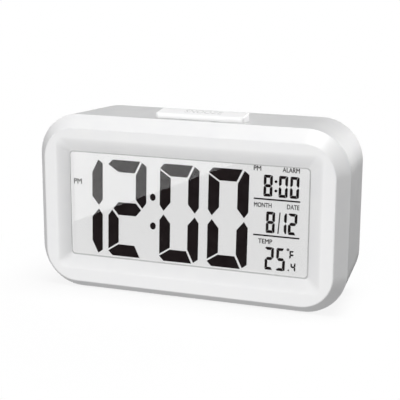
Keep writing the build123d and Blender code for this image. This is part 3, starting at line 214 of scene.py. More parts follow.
def bezel_rings():
    """The bezel's section carried round its outline. Outer band: at inset i the depth is seam (1 - i / band
    inset), and the outline is smaller by i on each side. Then the fillet and the flat face. Roll: outline
    larger than the window's by the distance left, depth by the roll's arc, which is steeper at the ends and
    changes over to the long sides' by 3 a^2 - 2 a^3. Then the rim, the back of the ring and the wall's
    inside."""
    slope = math.atan2(SEAM, BAND_INSET)
    fillet_inset, fillet_depth = fillet(slope)
    inset = np.concatenate([SEAM_INSETS, BAND_INSETS, [fillet_inset[0] - BAND_HOLD], fillet_inset,
                            [fillet_inset[-1] + FACE_HOLD]])
    depth = np.concatenate([SEAM - SEAM_STEPS, SEAM * (1 - BAND_INSETS / BAND_INSET),
                            [fillet_depth[0] + BAND_HOLD * math.tan(slope)], fillet_depth, [0.0]])
    outer = np.stack([CASE_W - 2 * inset, CASE_H - 2 * inset, CASE_R - inset, depth,
                      -FACE_DROP * np.minimum(inset / BAND_INSET, 1)])
    fall = np.linspace(0, 1, ROLL_STEPS + 1)[1:-1]
    left = np.concatenate([ROLL_WIDTH + ROLL_HOLDS, ROLL_WIDTH * (1 - fall), RIM_HOLDS])
    sunk = roll_depth(LONG_ROLL, ROLL_WIDTH - left)
    end_sunk = roll_depth(END_ROLL, ROLL_WIDTH - left)
    inner = np.stack([WINDOW_W + 2 * left, WINDOW_H + 2 * left, WINDOW_R + ROLL_R * left / ROLL_WIDTH,
                      sunk, 0 * left])
    share = 1 - RIM_DEPTH / SEAM
    wall = np.array([BAND_INSET * share + BEZEL_WALL, BEZEL_WALL])
    inside = np.stack([CASE_W - 2 * wall, CASE_H - 2 * wall, CASE_R - wall, np.array([RIM_DEPTH, SEAM]),
                       np.array([-FACE_DROP * share, 0.0])])
    width, height, radius, depth, rise = np.concatenate([outer, inner, inside], axis=1)
    flat = outlines(width, height, radius, CASE_CORNER_STEPS)
    aside = np.clip(np.abs(flat[..., 0]) - WINDOW_W / 2 + END_FADE, 0, END_FADE) / END_FADE
    deeper = np.concatenate([0 * outer[3], end_sunk - sunk, 0 * inside[3]])
    level = FRONT + depth[:, None] + deeper[:, None] * aside ** 2 * (3 - 2 * aside)
    level = np.minimum(level, np.maximum(FRONT + RIM_DEPTH, FRONT + depth)[:, None])
    return np.stack([flat[..., 0], level, flat[..., 1] + (MIDDLE + rise)[:, None]], axis=-1)


# White ABS from a polished mould: bright and even, with a soft sheen and hardly any grain. The display lies
# in even light, without a shadow from the bezel.
white_plastic = moulded("white_abs", "#e7e7e8", "#eaeaea", rough=0.42, lump=0.8, edge=0.1)
bezel = surface("bezel_shell", bezel_rings(), loop=True)
dress(bezel, white_plastic)
bezel.visible_shadow = False
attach(bezel, "clock")
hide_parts("front_bezel")

# Display window: a flat pane cut from clear acrylic sheet with an anti-glare coat, held between the bezel's
# rim and the LCD. The coat leaves less than half of the bare sheet's reflection.
ACRYLIC_IOR, COAT_SHARE, SMEAR_SIZE, SMEAR_ROUGH = 1.49, 0.4, 14.0, 0.012


def coated_acrylic():
    """Clear coated sheet: what lies behind shows unchanged, under a faint gleam that grows at a slant."""
    made, tree, place = material("coated_acrylic")
    smear = node(tree, "TexNoise", {"Vector": place, "Scale": 1 / (SMEAR_SIZE * MM), "Detail": LUMP_DETAIL})
    rough = node(tree, "MapRange", {"Value": smear.outputs["Fac"], "To Min": 0.0, "To Max": SMEAR_ROUGH})
    clear = node(tree, "BsdfTransparent", {"Color": linear("#ffffff")})
    gleam = node(tree, "BsdfGlossy", {"Roughness": rough.outputs["Result"]})
    slant = node(tree, "Fresnel", {"IOR": ACRYLIC_IOR})
    coat = node(tree, "Math", {0: slant.outputs[0], 1: COAT_SHARE}, operation="MULTIPLY")
    shade(tree, "MixShader", {0: coat.outputs[0], 1: clear.outputs[0], 2: gleam.outputs[0]})
    return made


dress(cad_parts["display_window"], coated_acrylic())

# Window border: a pale mask screen-printed on the back of the pane, which hides the edge of the LCD behind
# it, and a grey line of painted shade on its front along the bezel's rim, standing for the shadow gap
# between rim and pane, narrowest at the left.
PANE_FRONT, PANE_BACK = extent("display_window")[:, 1]
PRINT_AND_SHADE_T, PRINT_AND_SHADE_LUMP, PRINT_AND_SHADE_ROUGH, BORDER_GAP, LINE_GAP = 0.04, 4.0, 0.6, 0.02, 0.01
WORKED_SPREAD, WORKED_RELIEF = 0.06, 0.1

# Edges say how far the border's print and the rim's painted shade line reach in from the window's left,
# right, bottom and top.
BORDER_LAP, BORDER_EDGES, BORDER_R = 2.3, (-0.3, -0.3, -0.1, -0.1), 1.5
BORDER_LEVEL = PANE_BACK + BORDER_GAP
LINE_LAP, LINE_EDGES, LINE_R = -0.01, (0.2, 0.42, 0.6, 0.5), 1.4
LINE_LEVEL = PANE_FRONT - PRINT_AND_SHADE_T - LINE_GAP


def worked(name, dark, light, lump, rough, metallic=0.0, bump=0.08):
    """A worked surface: colour and roughness mottled in lumps of the size in mm, with a slight relief."""
    made, tree, place = material(name)
    mottle = node(tree, "TexNoise", {"Vector": place, "Scale": 1 / (lump * MM), "Detail": LUMP_DETAIL})
    colour = node(tree, "ValToRGB", {"Fac": mottle.outputs["Fac"]}, ((LUMP_LOW, dark), (LUMP_HIGH, light)))
    gloss = node(tree, "MapRange", {"Value": mottle.outputs["Fac"], "To Min": rough - WORKED_SPREAD,
                                    "To Max": rough + WORKED_SPREAD})
    relief = node(tree, "Bump", {"Strength": bump, "Distance": WORKED_RELIEF * MM,
                                 "Height": mottle.outputs["Fac"]})
    shade(tree, "BsdfPrincipled", {"Base Color": colour.outputs["Color"], "Metallic": metallic,
                                   "Roughness": gloss.outputs["Result"],
                                   "Normal": relief.outputs["Normal"]})
    return made


def print_and_shade_rings(lap, edges, radius, level):
    """A flat closed frame, of print for the border and of painted shade for the line along the rim. Its
    outside is a rounded rectangle wider than the window by the lap on each side, its inside lies the edges
    in from the window's sides; both stand at the level and one layer's thickness further back."""
    left, right, bottom, top = edges
    inside = np.array([1.0, 0.0, 0.0, 1.0])
    width = WINDOW_W + 2 * lap - inside * (2 * lap + left + right)
    height = WINDOW_H + 2 * lap - inside * (2 * lap + bottom + top)
    flat = outlines(width, height, np.full(4, radius))
    flat = flat + inside[:, None, None] * np.array([left - right, bottom - top]) / 2
    depth = level + PRINT_AND_SHADE_T * np.array([0.0, 0.0, 1.0, 1.0])
    depth = np.broadcast_to(depth[:, None], flat.shape[:2])
    return np.stack([flat[..., 0], depth, flat[..., 1] + MIDDLE], axis=-1)


# The border's screen print and the rim's grey line of painted shade: thin, even and matt, in two greys; too
# thin to throw a shadow.
border = surface("window_border", print_and_shade_rings(BORDER_LAP, BORDER_EDGES, BORDER_R, BORDER_LEVEL), loop=True)
dress(border, worked("pale_screen_print", "#e4e4e4", "#e8e8e8", lump=PRINT_AND_SHADE_LUMP, rough=PRINT_AND_SHADE_ROUGH))
# The grey line along the rim is painted shade: a dark band where the shadow gap between rim and pane falls,
# widest at the bottom and narrowest at the left.
rim_shade_line = surface("window_shade_line", print_and_shade_rings(LINE_LAP, LINE_EDGES, LINE_R, LINE_LEVEL), loop=True)
dress(rim_shade_line, worked("painted_rim_shade", "#b2b2b2", "#b8b8b8", lump=PRINT_AND_SHADE_LUMP, rough=PRINT_AND_SHADE_ROUGH))
for print_and_shade in (border, rim_shade_line):
    print_and_shade.visible_shadow = False
    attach(print_and_shade, "clock")

# LCD: two sheets of glass with liquid crystal between them, dark segments in the gap and a pale reflective
# film on the back, held in a moulded frame. The words and rules belong to the same mask as the segments.
HAZE_SIZE, GLASS_GLEAM, FILM_WEAVE, CLOUD_SIZE = 20.0, 0.002, 0.5, 6.0
SEGMENT_GROWTH, WORD_GROWTH, WORD_T, WORD_SINK = 0.06, 0.04, 0.06, 0.02
WORD_LEVEL = extent("lcd_segments")[0, 1] + WORD_SINK
FLAT_WITHIN = math.radians(0.3)

# Each word has the left, right, bottom and top of its box, from the window's middle.
LCD_WORDS = (
    ("PM", -51.85, -48.25, 7.9, 10.2),
    ("PM", 28.17, 31.23, 19.7, 21.6),
    ("ALARM", 40.15, 47.13, 19.8, 21.65),
    ("MONTH", 28.53, 35.83, 4.75, 6.6),
    ("DATE", 42.3, 47.32, 4.8, 6.7),
    ("TEMP", 30.54, 36.38, -10.35, -8.45),
    ("_", 28.4, 47.6, 7.88, 8.42),
    ("_", 28.4, 47.6, -7.22, -6.68),
)


def lcd_glass():
    """Thin float glass: as good as invisible, with a trace of hazy gleam."""
    made, tree, place = material("lcd_glass")
    haze = node(tree, "TexNoise", {"Vector": place, "Scale": 1 / (HAZE_SIZE * MM), "Detail": LUMP_DETAIL})
    rough = node(tree, "MapRange", {"Value": haze.outputs["Fac"], "To Min": 0.1, "To Max": 0.2})
    clear = node(tree, "BsdfTransparent", {"Color": linear("#ffffff")})
    gleam = node(tree, "BsdfGlossy", {"Roughness": rough.outputs["Result"]})
    shade(tree, "MixShader", {0: GLASS_GLEAM, 1: clear.outputs[0], 2: gleam.outputs[0]})
    return made


def reflective_film():
    """Embossed reflective film: an even pale ground for the segments, dulled by a fine weave."""
    made, tree, place = material("lcd_reflective_film")
    weave = node(tree, "TexNoise", {"Vector": place, "Scale": 1 / (FILM_WEAVE * MM), "Detail": LUMP_DETAIL})
    colour = node(tree, "ValToRGB", {"Fac": weave.outputs["Fac"]},
                  ((LUMP_LOW, "#ededed"), (LUMP_HIGH, "#f1f1f1")))
    shade(tree, "BsdfPrincipled", {"Base Color": colour.outputs["Color"], "Roughness": 0.5, "IOR": 1.45})
    return made


def dark_crystal():
    """Liquid crystal that blocks the light: a warm black under the glass, with no gleam of its own."""
    made, tree, place = material("lcd_dark_crystal")
    cloud = node(tree, "TexNoise", {"Vector": place, "Scale": 1 / (CLOUD_SIZE * MM), "Detail": LUMP_DETAIL})
    colour = node(tree, "ValToRGB", {"Fac": cloud.outputs["Fac"]},
                  ((LUMP_LOW, "#1d1718"), (LUMP_HIGH, "#251f20")))
    shade(tree, "BsdfPrincipled", {"Base Color": colour.outputs["Color"], "Roughness": 0.6, "IOR": 1.05})
    return made


def smoothed(name, source, sharp=24):
    """A welded copy of a node's triangles, to take the node's place: flat areas joined into whole faces,
    curved ones smooth, edges over the angle sharp."""
    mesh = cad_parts[source].data.copy()
    mesh.attributes.remove(mesh.attributes["custom_normal"])
    shape = bmesh.new()
    shape.from_mesh(mesh)
    bmesh.ops.remove_doubles(shape, verts=shape.verts, dist=WELD)
    bmesh.ops.dissolve_limit(shape, angle_limit=FLAT_WITHIN, verts=shape.verts, edges=shape.edges,
                             delimit={"NORMAL"})
    shape.to_mesh(mesh)
    shape.free()
    return piece(name, mesh, sharp)


def grown(made, growth):
    """Widens print that faces front or back by the growth in millimetres: every point moves that far along
    its normal, without the normal's part in depth."""
    count = 3 * len(made.data.vertices)
    points, lean = np.empty(count), np.empty(count)
    made.data.vertices.foreach_get("co", points)
    made.data.vertices.foreach_get("normal", lean)
    lean = lean.reshape(-1, 3) * np.array([1.0, 0.0, 1.0])
    lean /= np.linalg.norm(lean, axis=1)[:, None].clip(WELD)
    made.data.vertices.foreach_set("co", points + growth * MM * lean.ravel())
    return made


def lettering(name, words, thick, put):
    """One mesh of flat words. Each entry is (text, u0, u1, v0, v1): the text's outlines are set into the
    box between the two corners, in millimetres, and put(u, v, w) gives the place of a point w above the
    printed surface."""
    joined = bmesh.new()
    for text, u0, u1, v0, v1 in words:
        curve = bpy.data.curves.new(name, "FONT")
        curve.body = text
        curve.resolution_u = 4
        curve.extrude = 0.5
        letters = bpy.data.objects.new(name, curve)
        flat = bpy.data.meshes.new_from_object(letters)
        points = np.empty(3 * len(flat.vertices))
        flat.vertices.foreach_get("co", points)
        points = points.reshape(-1, 3)
        unit = (points - points.min(axis=0)) / np.ptp(points, axis=0)
        place = put(u0 + (u1 - u0) * unit[:, 0], v0 + (v1 - v0) * unit[:, 1], thick * unit[:, 2])
        flat.vertices.foreach_set("co", np.stack(np.broadcast_arrays(*place), axis=-1).ravel() * MM)
        joined.from_mesh(flat)
        bpy.data.objects.remove(letters)
        bpy.data.meshes.remove(flat)
    mesh = bpy.data.meshes.new(name)
    joined.to_mesh(mesh)
    joined.free()
    return piece(name, mesh)


def on_lcd(u, v, w):
    """A point on the segments' plane, u to the right and v up from the window's middle."""
    return u, WORD_LEVEL + w, MIDDLE + v


dress(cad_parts["lcd_front_glass"], lcd_glass())
dress(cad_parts["lcd_rear_glass"], reflective_film())
segment_black = dark_crystal()
segments = grown(smoothed("lcd_marks", "lcd_segments"), SEGMENT_GROWTH)
dress(segments, segment_black)
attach(segments, "clock")
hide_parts("lcd_segments")
lcd_words = grown(lettering("lcd_words", LCD_WORDS, WORD_T, on_lcd), WORD_GROWTH)
dress(lcd_words, segment_black)
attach(lcd_words, "clock")

# Display lighting: a clear acrylic guide behind the LCD, a white film behind it and a strip of LEDs above,
# all held with the LCD in a moulded frame. A strip of layered rubber joins the glass to the main board.
DOT_SIZE, ZEBRA_PITCH = 1.0, 1.58

# A wave pattern of scale 1 repeats after this length.
WAVE_LENGTH = math.pi / 10


def light_guide_acrylic():
    """Clear acrylic with a dotted back: bright and see-through, frosted where the dots are."""
    made, tree, place = material("light_guide_acrylic")
    dots = node(tree, "TexNoise", {"Vector": place, "Scale": 1 / (DOT_SIZE * MM), "Detail": LUMP_DETAIL})
    rough = node(tree, "MapRange", {"Value": dots.outputs["Fac"], "To Min": 0.1, "To Max": 0.35})
    shade(tree, "BsdfPrincipled", {"Base Color": linear("#f4f7f8"), "Transmission Weight": 0.9,
                                   "IOR": ACRYLIC_IOR, "Roughness": rough.outputs["Result"]})
    return made


def zebra_rubber():
    """Silicone in layers, black ones that conduct and pink ones that don't: hard stripes across the strip.
    The real layers are finer than a quarter of a millimetre, so they are drawn coarser to show."""
    made, tree, place = material("zebra_rubber")
    stripe = node(tree, "TexWave", {"Vector": place, "Scale": WAVE_LENGTH / (ZEBRA_PITCH * MM)})
    colour = node(tree, "ValToRGB", {"Fac": stripe.outputs["Fac"]}, ((0.45, "#202022"), (0.55, "#d9a6a0")))
    shade(tree, "BsdfPrincipled", {"Base Color": colour.outputs["Color"], "Roughness": 0.7})
    return made


dress(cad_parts["light_guide"], light_guide_acrylic())
dress(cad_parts["zebra_strip"], zebra_rubber())

# White film is matt and almost without colour; the LEDs' resin is smooth and pale yellow.
dress(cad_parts["reflector_sheet"], worked("white_film", "#eceded", "#f4f4f4", lump=0.8, rough=0.6))
dress(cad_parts["backlight_leds"], worked("led_resin", "#e9dfa8", "#f2ecc4", lump=0.6, rough=0.25))

# Off-white ABS, duller than the bezel's. It lies behind the border and throws no shadow on the display.
frame_plastic = moulded("frame_abs", "#dadbdb", "#e2e2e2", rough=0.5, lump=0.7, edge=0.1)
dress(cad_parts["lcd_frame"], frame_plastic)
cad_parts["lcd_frame"].visible_shadow = False

# Circuit boards: the main board behind the display and small ones for the lighting, the snooze switch and
# the keys. Glass-fibre laminate under green solder mask, screwed down; the LCD's frame holds the
# lighting's.
TRACK_ROW, ROW_SHARE, LAMINATE_WEAVE = 1.0, 0.25, 0.6


def solder_mask():
    """Green lacquer over copper: a smooth dark green with paler tracks and a hint of the glass weave. A
    brick pattern of scale 1 has rows a quarter high."""
    made, tree, place = material("solder_mask")
    upright = node(tree, "Mapping", {"Vector": place, "Rotation": (math.pi / 2, 0, 0)})
    tracks = node(tree, "TexBrick", {"Vector": upright.outputs["Vector"], "Mortar Size": 0.06,
                                     "Scale": ROW_SHARE / (TRACK_ROW * MM), "Color1": linear("#1d5c39"),
                                     "Color2": linear("#216341"), "Mortar": linear("#38845a")})
    weave = node(tree, "TexNoise", {"Vector": place, "Scale": 1 / (LAMINATE_WEAVE * MM),
                                    "Detail": LUMP_DETAIL})
    relief = node(tree, "Bump", {"Strength": 0.1, "Distance": WORKED_RELIEF * MM,
                                 "Height": weave.outputs["Fac"]})
    shade(tree, "BsdfPrincipled", {"Base Color": tracks.outputs["Color"], "Roughness": 0.35, "IOR": 1.53,
                                   "Normal": relief.outputs["Normal"]})
    return made


board_green = solder_mask()
for name in ("main_board", "backlight_board", "snooze_board", "key_board"):
    dress(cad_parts[name], board_green)

# Board parts: the clock chip under a drop of epoxy, the crystal's steel can, capacitors in shrunk sleeves,
# and the switches with their plungers, soldered to the boards. Screws and contact plates share the can's
# plating.

# Nickel plating is bright and a little uneven, black ABS half matt, epoxy wavy and glossy, and the
# capacitors' sleeves are a smooth dark blue.
plated_steel = worked("plated_steel", "#b4b2ad", "#cbc9c4", lump=2.5, rough=0.28, metallic=1.0)
black_plastic = moulded("black_abs", "#1c1c1d", "#242425", rough=0.5, lump=0.7, edge=0.15)
black_epoxy = worked("black_epoxy", "#101011", "#19191a", lump=1.5, rough=0.3, bump=0.15)
dress(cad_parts["clock_chip"], black_epoxy)
dress(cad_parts["capacitors"], worked("capacitor_sleeve", "#22304d", "#2a3a5a", lump=2.0, rough=0.35))
for name in ("quartz_crystal", "board_screws", "case_screws", "snooze_board_screws", "key_board_screws",
             "contact_plates"):
    dress(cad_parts[name], plated_steel)
for name in ("snooze_switch", "key_switches", "alarm_switch_case", "alarm_switch_lever", "snooze_plunger",
             "mode_plunger", "set_plunger", "up_plunger", "down_plunger"):
    dress(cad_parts[name], black_plastic)

# Rear housing: the light grey shell that tapers to the back, with the battery bay, key holes, sound holes
# and vent slots. Injection-moulded ABS from an eroded mould, which leaves it matt and even; screwed on
# through four wells.
grey_plastic = moulded("grey_abs", "#cccccd", "#d1d1d1", rough=0.55, lump=0.7, edge=0.25)
housing = smoothed("housing_shell", "rear_housing")
dress(housing, grey_plastic)
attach(housing, "clock")
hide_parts("rear_housing")

# Words on the back panel: function words under the keys and round the alarm switch, pad-printed in grey
# ink, which lies flat and matt on the plastic. Their boxes are given as seen from behind.
BACK = extent("rear_housing")[1, 1]
KEY_WORD_ROW, SWITCH_WORD_ROW, PAD_PRINT_T = (15.4, 17.2), (26.2, 27.7), 0.04
PANEL_WORDS = (
    ("MODE", -39.2, -32.8, *KEY_WORD_ROW),
    ("SET", -20.2, -15.8, *KEY_WORD_ROW),
    ("UP", -1.5, 1.5, *KEY_WORD_ROW),
    ("DOWN", 14.6, 21.4, *KEY_WORD_ROW),
    ("ALARM", 33.3, 41.2, *KEY_WORD_ROW),
    ("OFF", 32.4, 36.0, *SWITCH_WORD_ROW),
    ("ON", 38.6, 41.2, *SWITCH_WORD_ROW),
)


def on_panel(u, v, w):
    """A point on the back panel, u to the right as seen from behind and v up from the middle."""
    return -u, BACK + w, MIDDLE + v


legends = grown(lettering("panel_words", PANEL_WORDS, PAD_PRINT_T, on_panel), WORD_GROWTH)
dress(legends, worked("grey_print", "#56585a", "#626466", lump=3.0, rough=0.55))
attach(legends, "clock")

# Feet: two long strips that keep the clock from sliding, pressed into grooves under the case. Moulded soft
# rubber: nearly black, matt and slightly rough.
FOOT_LENGTH, FOOT_WIDTH, FOOT_EDGE, FOOT_STEP = 84.0, 6.0, 0.35, 0.1
FOOT_EDGE_POINTS, FOOT_FACE_STEPS = 8, 5
feet_low, feet_high = extent("rubber_feet")
FOOT_HEIGHT = feet_high[2]


def foot_rings(middle):
    """A strip's rings from its top in the groove down: a line that widens to the outline, the sides, a
    quarter circle of the edge's radius, and the face on the table closing on a line. Middle is the strip's
    own place in depth."""
    turn = np.linspace(0, math.pi / 2, FOOT_EDGE_POINTS)
    inward = np.linspace(FOOT_EDGE, FOOT_WIDTH / 2, FOOT_FACE_STEPS + 1)[1:]
    inset = np.concatenate([[FOOT_WIDTH / 2, 0.0, 0.0], FOOT_EDGE * (1 - np.cos(turn)), inward])
    down = np.concatenate([[0.0, 0.0, FOOT_STEP], FOOT_HEIGHT - FOOT_EDGE + FOOT_EDGE * np.sin(turn),
                           np.full(FOOT_FACE_STEPS, FOOT_HEIGHT)])
    radius = np.maximum(FOOT_WIDTH / 2 - inset, 0.0)
    flat = outlines(FOOT_LENGTH - 2 * inset, FOOT_WIDTH - 2 * inset, radius)
    height = np.broadcast_to((FOOT_HEIGHT - down)[:, None], flat.shape[:2])
    return np.stack([flat[..., 0], middle + flat[..., 1], height], axis=-1)


foot_rubber = worked("foot_rubber", "#2a2a2b", "#363637", lump=1.2, rough=0.75, bump=0.2)
half = FOOT_WIDTH / 2
for name, middle in (("front_foot", feet_low[1] + half), ("rear_foot", feet_high[1] - half)):
    foot = surface(name, foot_rings(middle))
    dress(foot, foot_rubber)
    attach(foot, "clock")
    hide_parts("rubber_feet")

# Snooze bar: the white bar on top, pressed down against a small switch. Moulded ABS with a soft crown,
# rounded edges and a flange under the top wall that keeps it in its slot; its name is printed in pale ink.
FLANGE_LAP, FLANGE_R, POST_R, POST_Y = 1.3, 2.9, 2.0, 0.8
snooze_low, snooze_high = extent("snooze_button")
SNOOZE_X, SNOOZE_Y = ((snooze_low + snooze_high) / 2)[:2]
SNOOZE_W, SNOOZE_D = (snooze_high - snooze_low)[:2] - 2 * FLANGE_LAP
SNOOZE_R, SNOOZE_EDGE, SNOOZE_STEPS = 1.2, 0.5, 8
SNOOZE_WORD, SNOOZE_WORD_T = ("SNOOZE", -7.6, 8.4, -1.6, 2.6), 0.03

# Heights from the middle of the case, then how far the top rises to the back and swells on its middle line.
POST_BASE, FLANGE_BASE, FLANGE_TOP, SNOOZE_FRONT_TOP = 32.79, 33.834, 35.034, 39.879
SNOOZE_RISE, SNOOZE_CROWN = 0.9, 0.2


def crown(v):
    """Height of the bar's top, v from its middle line towards the back: a slope from front to back plus a
    parabola that is highest on the middle line."""
    share = v / (SNOOZE_D / 2)
    return SNOOZE_FRONT_TOP + SNOOZE_RISE * (1 + share) / 2 + SNOOZE_CROWN * (1 - share ** 2)


def snooze_rings():
    """The bar's rings from the post's foot up: post, flange, sides, a quarter circle round the edge, then
    the top closing on a line. Levels above the sides follow the crown of each point's own place."""
    turn = np.linspace(0, math.pi / 2, SNOOZE_STEPS + 1)
    inward = np.linspace(SNOOZE_EDGE, SNOOZE_D / 2, SNOOZE_STEPS + 1)[1:]
    inset = np.concatenate([SNOOZE_EDGE * (1 - np.cos(turn)), inward])
    below = np.concatenate([SNOOZE_EDGE * (1 - np.sin(turn)), 0 * inward])
    upper = outlines(SNOOZE_W - 2 * inset, SNOOZE_D - 2 * inset, np.maximum(SNOOZE_R - inset, 0.0))
    upper = np.concatenate([upper, (crown(upper[..., 1]) - below[:, None])[..., None]], axis=-1)
    post, lap = 2 * POST_R, 2 * FLANGE_LAP
    width = np.array([0, post, post, SNOOZE_W + lap, SNOOZE_W + lap, SNOOZE_W])
    depth = np.array([0, post, post, SNOOZE_D + lap, SNOOZE_D + lap, SNOOZE_D])
    radius = np.array([0, POST_R, POST_R, FLANGE_R, FLANGE_R, SNOOZE_R])
    level = np.array([POST_BASE, POST_BASE, FLANGE_BASE, FLANGE_BASE, FLANGE_TOP, FLANGE_TOP])
    lower = outlines(width, depth, radius)
    lower[:3, :, 1] += POST_Y
    lower = np.concatenate([lower, np.broadcast_to(level[:, None, None], lower.shape[:2] + (1,))], axis=-1)
    return np.concatenate([lower, upper]) + np.array([SNOOZE_X, SNOOZE_Y, MIDDLE])


def on_bar(u, v, w):
    """A point on the bar's crown, u to the right and v back from the bar's middle."""
    return SNOOZE_X + u, SNOOZE_Y + v, MIDDLE + crown(v) + w


# The bar's ABS is a brighter white than the bezel's, with the same sheen; the ink is darker and matt.
snooze_bar = surface("snooze_bar", snooze_rings())
dress(snooze_bar, moulded("bright_white_abs", "#f7f7f7", "#fafafa", rough=0.4, lump=0.8, edge=0.1))
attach(snooze_bar, "snooze")
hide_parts("snooze_button")
snooze_word = lettering("snooze_word", [SNOOZE_WORD], SNOOZE_WORD_T, on_bar)
dress(snooze_word, worked("pale_print", "#d0d1d1", "#d6d7d7", lump=3.0, rough=0.5))
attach(snooze_word, "snooze")

# Keys: four oblong caps in a row across the back panel, moulded in the bezel's white ABS. Each has a flange
# that holds it behind the panel and a post that pushes its switch.
KEY_W, KEY_H, KEY_EDGE, KEY_LAP = 10.5, 5.6, 0.7, 1.05
KEY_POST_R, KEY_POST_L, KEY_FLANGE = 1.5, 1.0, 1.2
KEY_FOOT, KEY_TOP = extent("mode_key")[:, 1]
KEY_EDGE_POINTS, KEY_FACE_STEPS = 8, 5


def key_rings():
    """A key's rings from the post's foot out: post, flange, sides, a quarter circle round the edge, then
    the face closing on a line. Shape (ring, point, xyz) about the key's own middle line."""
    turn = np.linspace(0, math.pi / 2, KEY_EDGE_POINTS)
    inward = np.linspace(KEY_EDGE, KEY_H / 2, KEY_FACE_STEPS + 1)[1:]
    inset = np.concatenate([KEY_EDGE * (1 - np.cos(turn)), inward])
    post, wide, tall = 2 * KEY_POST_R, KEY_W + 2 * KEY_LAP, KEY_H + 2 * KEY_LAP
    shoulder = KEY_FOOT + KEY_POST_L
    panel = shoulder + KEY_FLANGE
    width = np.concatenate([[0, post, post, wide, wide, KEY_W], KEY_W - 2 * inset])
    height = np.concatenate([[0, post, post, tall, tall, KEY_H], KEY_H - 2 * inset])
    level = np.concatenate([[KEY_FOOT, KEY_FOOT, shoulder, shoulder, panel, panel],
                            KEY_TOP - KEY_EDGE * (1 - np.sin(turn)), np.full(KEY_FACE_STEPS, KEY_TOP)])
    flat = outlines(width, height, np.minimum(width, height) / 2)
    return np.stack([flat[..., 0], np.broadcast_to(level[:, None], flat.shape[:2]), flat[..., 1]], axis=-1)


for name in ("mode", "set", "up", "down"):
    middle = extent(name + "_key").mean(axis=0)
    key = surface(name + "_cap", key_rings() + middle * np.array([1.0, 0.0, 1.0]))
    dress(key, white_plastic)
    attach(key, name)
    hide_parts(name + "_key")

# Alarm switch: a ridged knob that slides in a slot of the back panel, moulded in the switches' black ABS.
# It sits on the lever of a small slide switch on the key board.
knob = smoothed("alarm_knob", "alarm_switch_knob")
dress(knob, black_plastic)
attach(knob, "alarm_knob")
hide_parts("alarm_switch_knob")

# Battery door: the lid of the bay, moulded in the housing's grey ABS with finger ridges and a latch tongue.
# It hangs on two hooks at its lower edge.
door = smoothed("door_lid", "battery_door")
dress(door, grey_plastic)
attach(door, "door")
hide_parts("battery_door")

# Battery contacts: three cone springs of plated steel wire at the cells' flat ends, each wound in three
# turns that narrow towards the cell and seated on a sheet plate in the bay's end wall.
SPRING_L, SPRING_TURNS, TURN_STEPS = 4.0, 3, 48
SPRING_WIDE, SPRING_NARROW, SPRING_START, SPRING_CLIMB = 3.7, 2.2, 0.35, 3.3
WIRE_R, WIRE_POINTS = 0.3, 16
SPRING_SIDES = (-1, 1, -1)


def spring_rings(base, side):
    """Wire along a cone helix about the cell's axis: radius R from wide to narrow, centre line (x - side
    (start + climb s), y + R cos t, z + R sin t), with s the share of the way; a circle of the wire's radius
    stands across it in the frame of the radial direction and its cross product with the tangent."""
    share = np.linspace(0, 1, TURN_STEPS * SPRING_TURNS + 1)
    angle = 2 * math.pi * SPRING_TURNS * share
    radius = SPRING_WIDE + (SPRING_NARROW - SPRING_WIDE) * share
    out = np.stack([0 * angle, np.cos(angle), np.sin(angle)], axis=-1)
    along = np.stack([-side * (SPRING_START + SPRING_CLIMB * share), 0 * angle, 0 * angle], axis=-1)
    line = base + along + radius[:, None] * out
    way = np.gradient(line, axis=0)
    way /= np.linalg.norm(way, axis=1)[:, None]
    beside = np.cross(way, out)
    turn = np.linspace(0, 2 * math.pi, WIRE_POINTS, endpoint=False)
    thick = np.full(len(share), WIRE_R)
    thick[[0, -1]] = 0.0
    outward, aside = np.cos(turn)[None, :, None], np.sin(turn)[None, :, None]
    circle = outward * out[:, None, :] + aside * beside[:, None, :]
    return line[:, None, :] + thick[:, None, None] * circle


for number, side in enumerate(SPRING_SIDES, 1):
    cell = extent(f"battery_cell_{number}")
    base = cell.mean(axis=0)
    base[0] = side * (np.max(side * cell[:, 0]) + SPRING_L)
    spring = surface(f"cone_spring_{number}", spring_rings(base, side))
    dress(spring, plated_steel)
    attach(spring, "clock")
    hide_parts("contact_springs")

# Wiring, sensor and buzzer: grey ribbons and red leads in soft PVC, soldered at both ends, the temperature
# sensor's epoxy bead on its own leads, and the buzzer's brass disc with its silvered ceramic.
RIBBON_PITCH = 2.51


def ribbon_pvc():
    """Ribbed PVC: soft grey lines along the wires. The real wires lie 1.27 mm apart and are drawn about
    twice as coarse to show."""
    made, tree, place = material("ribbon_pvc")
    lines = node(tree, "TexWave", {"Vector": place, "Scale": WAVE_LENGTH / (RIBBON_PITCH * MM)})
    colour = node(tree, "ValToRGB", {"Fac": lines.outputs["Fac"]},
                  ((LUMP_LOW, "#8d9092"), (LUMP_HIGH, "#b3b6b8")))
    shade(tree, "BsdfPrincipled", {"Base Color": colour.outputs["Color"], "Roughness": 0.5})
    return made


# The leads' PVC is a plain red with a dull shine, the bead's epoxy black and glossy, the brass yellow and
# rolled bright, and the ceramic's silver coat pale and half matt.
ribbon_grey = ribbon_pvc()
lead_red = worked("lead_pvc", "#9d2420", "#ad2c27", lump=3.0, rough=0.45)
for name, look in (("snooze_ribbon", ribbon_grey), ("key_ribbon", ribbon_grey),
                   ("battery_leads", lead_red), ("buzzer_leads", lead_red)):
    dress(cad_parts[name], look)
dress(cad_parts["thermistor"], worked("bead_epoxy", "#1b1b1d", "#262628", lump=0.8, rough=0.3))
brass = worked("brass_sheet", "#b5913f", "#c6a24d", lump=3.0, rough=0.3, metallic=1.0)
dress(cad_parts["buzzer_plate"], brass)
silver = worked("silvered_ceramic", "#c9c7c0", "#d8d6cf", lump=1.5, rough=0.4)
dress(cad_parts["buzzer_ceramic"], silver)

# Cells: three AAA cells that lie head to tail in the bay, each a steel can in a printed film sleeve, plain
# blue with a pale band towards the positive end and bare steel at both ends.
SCUFF_SIZE = 4.0

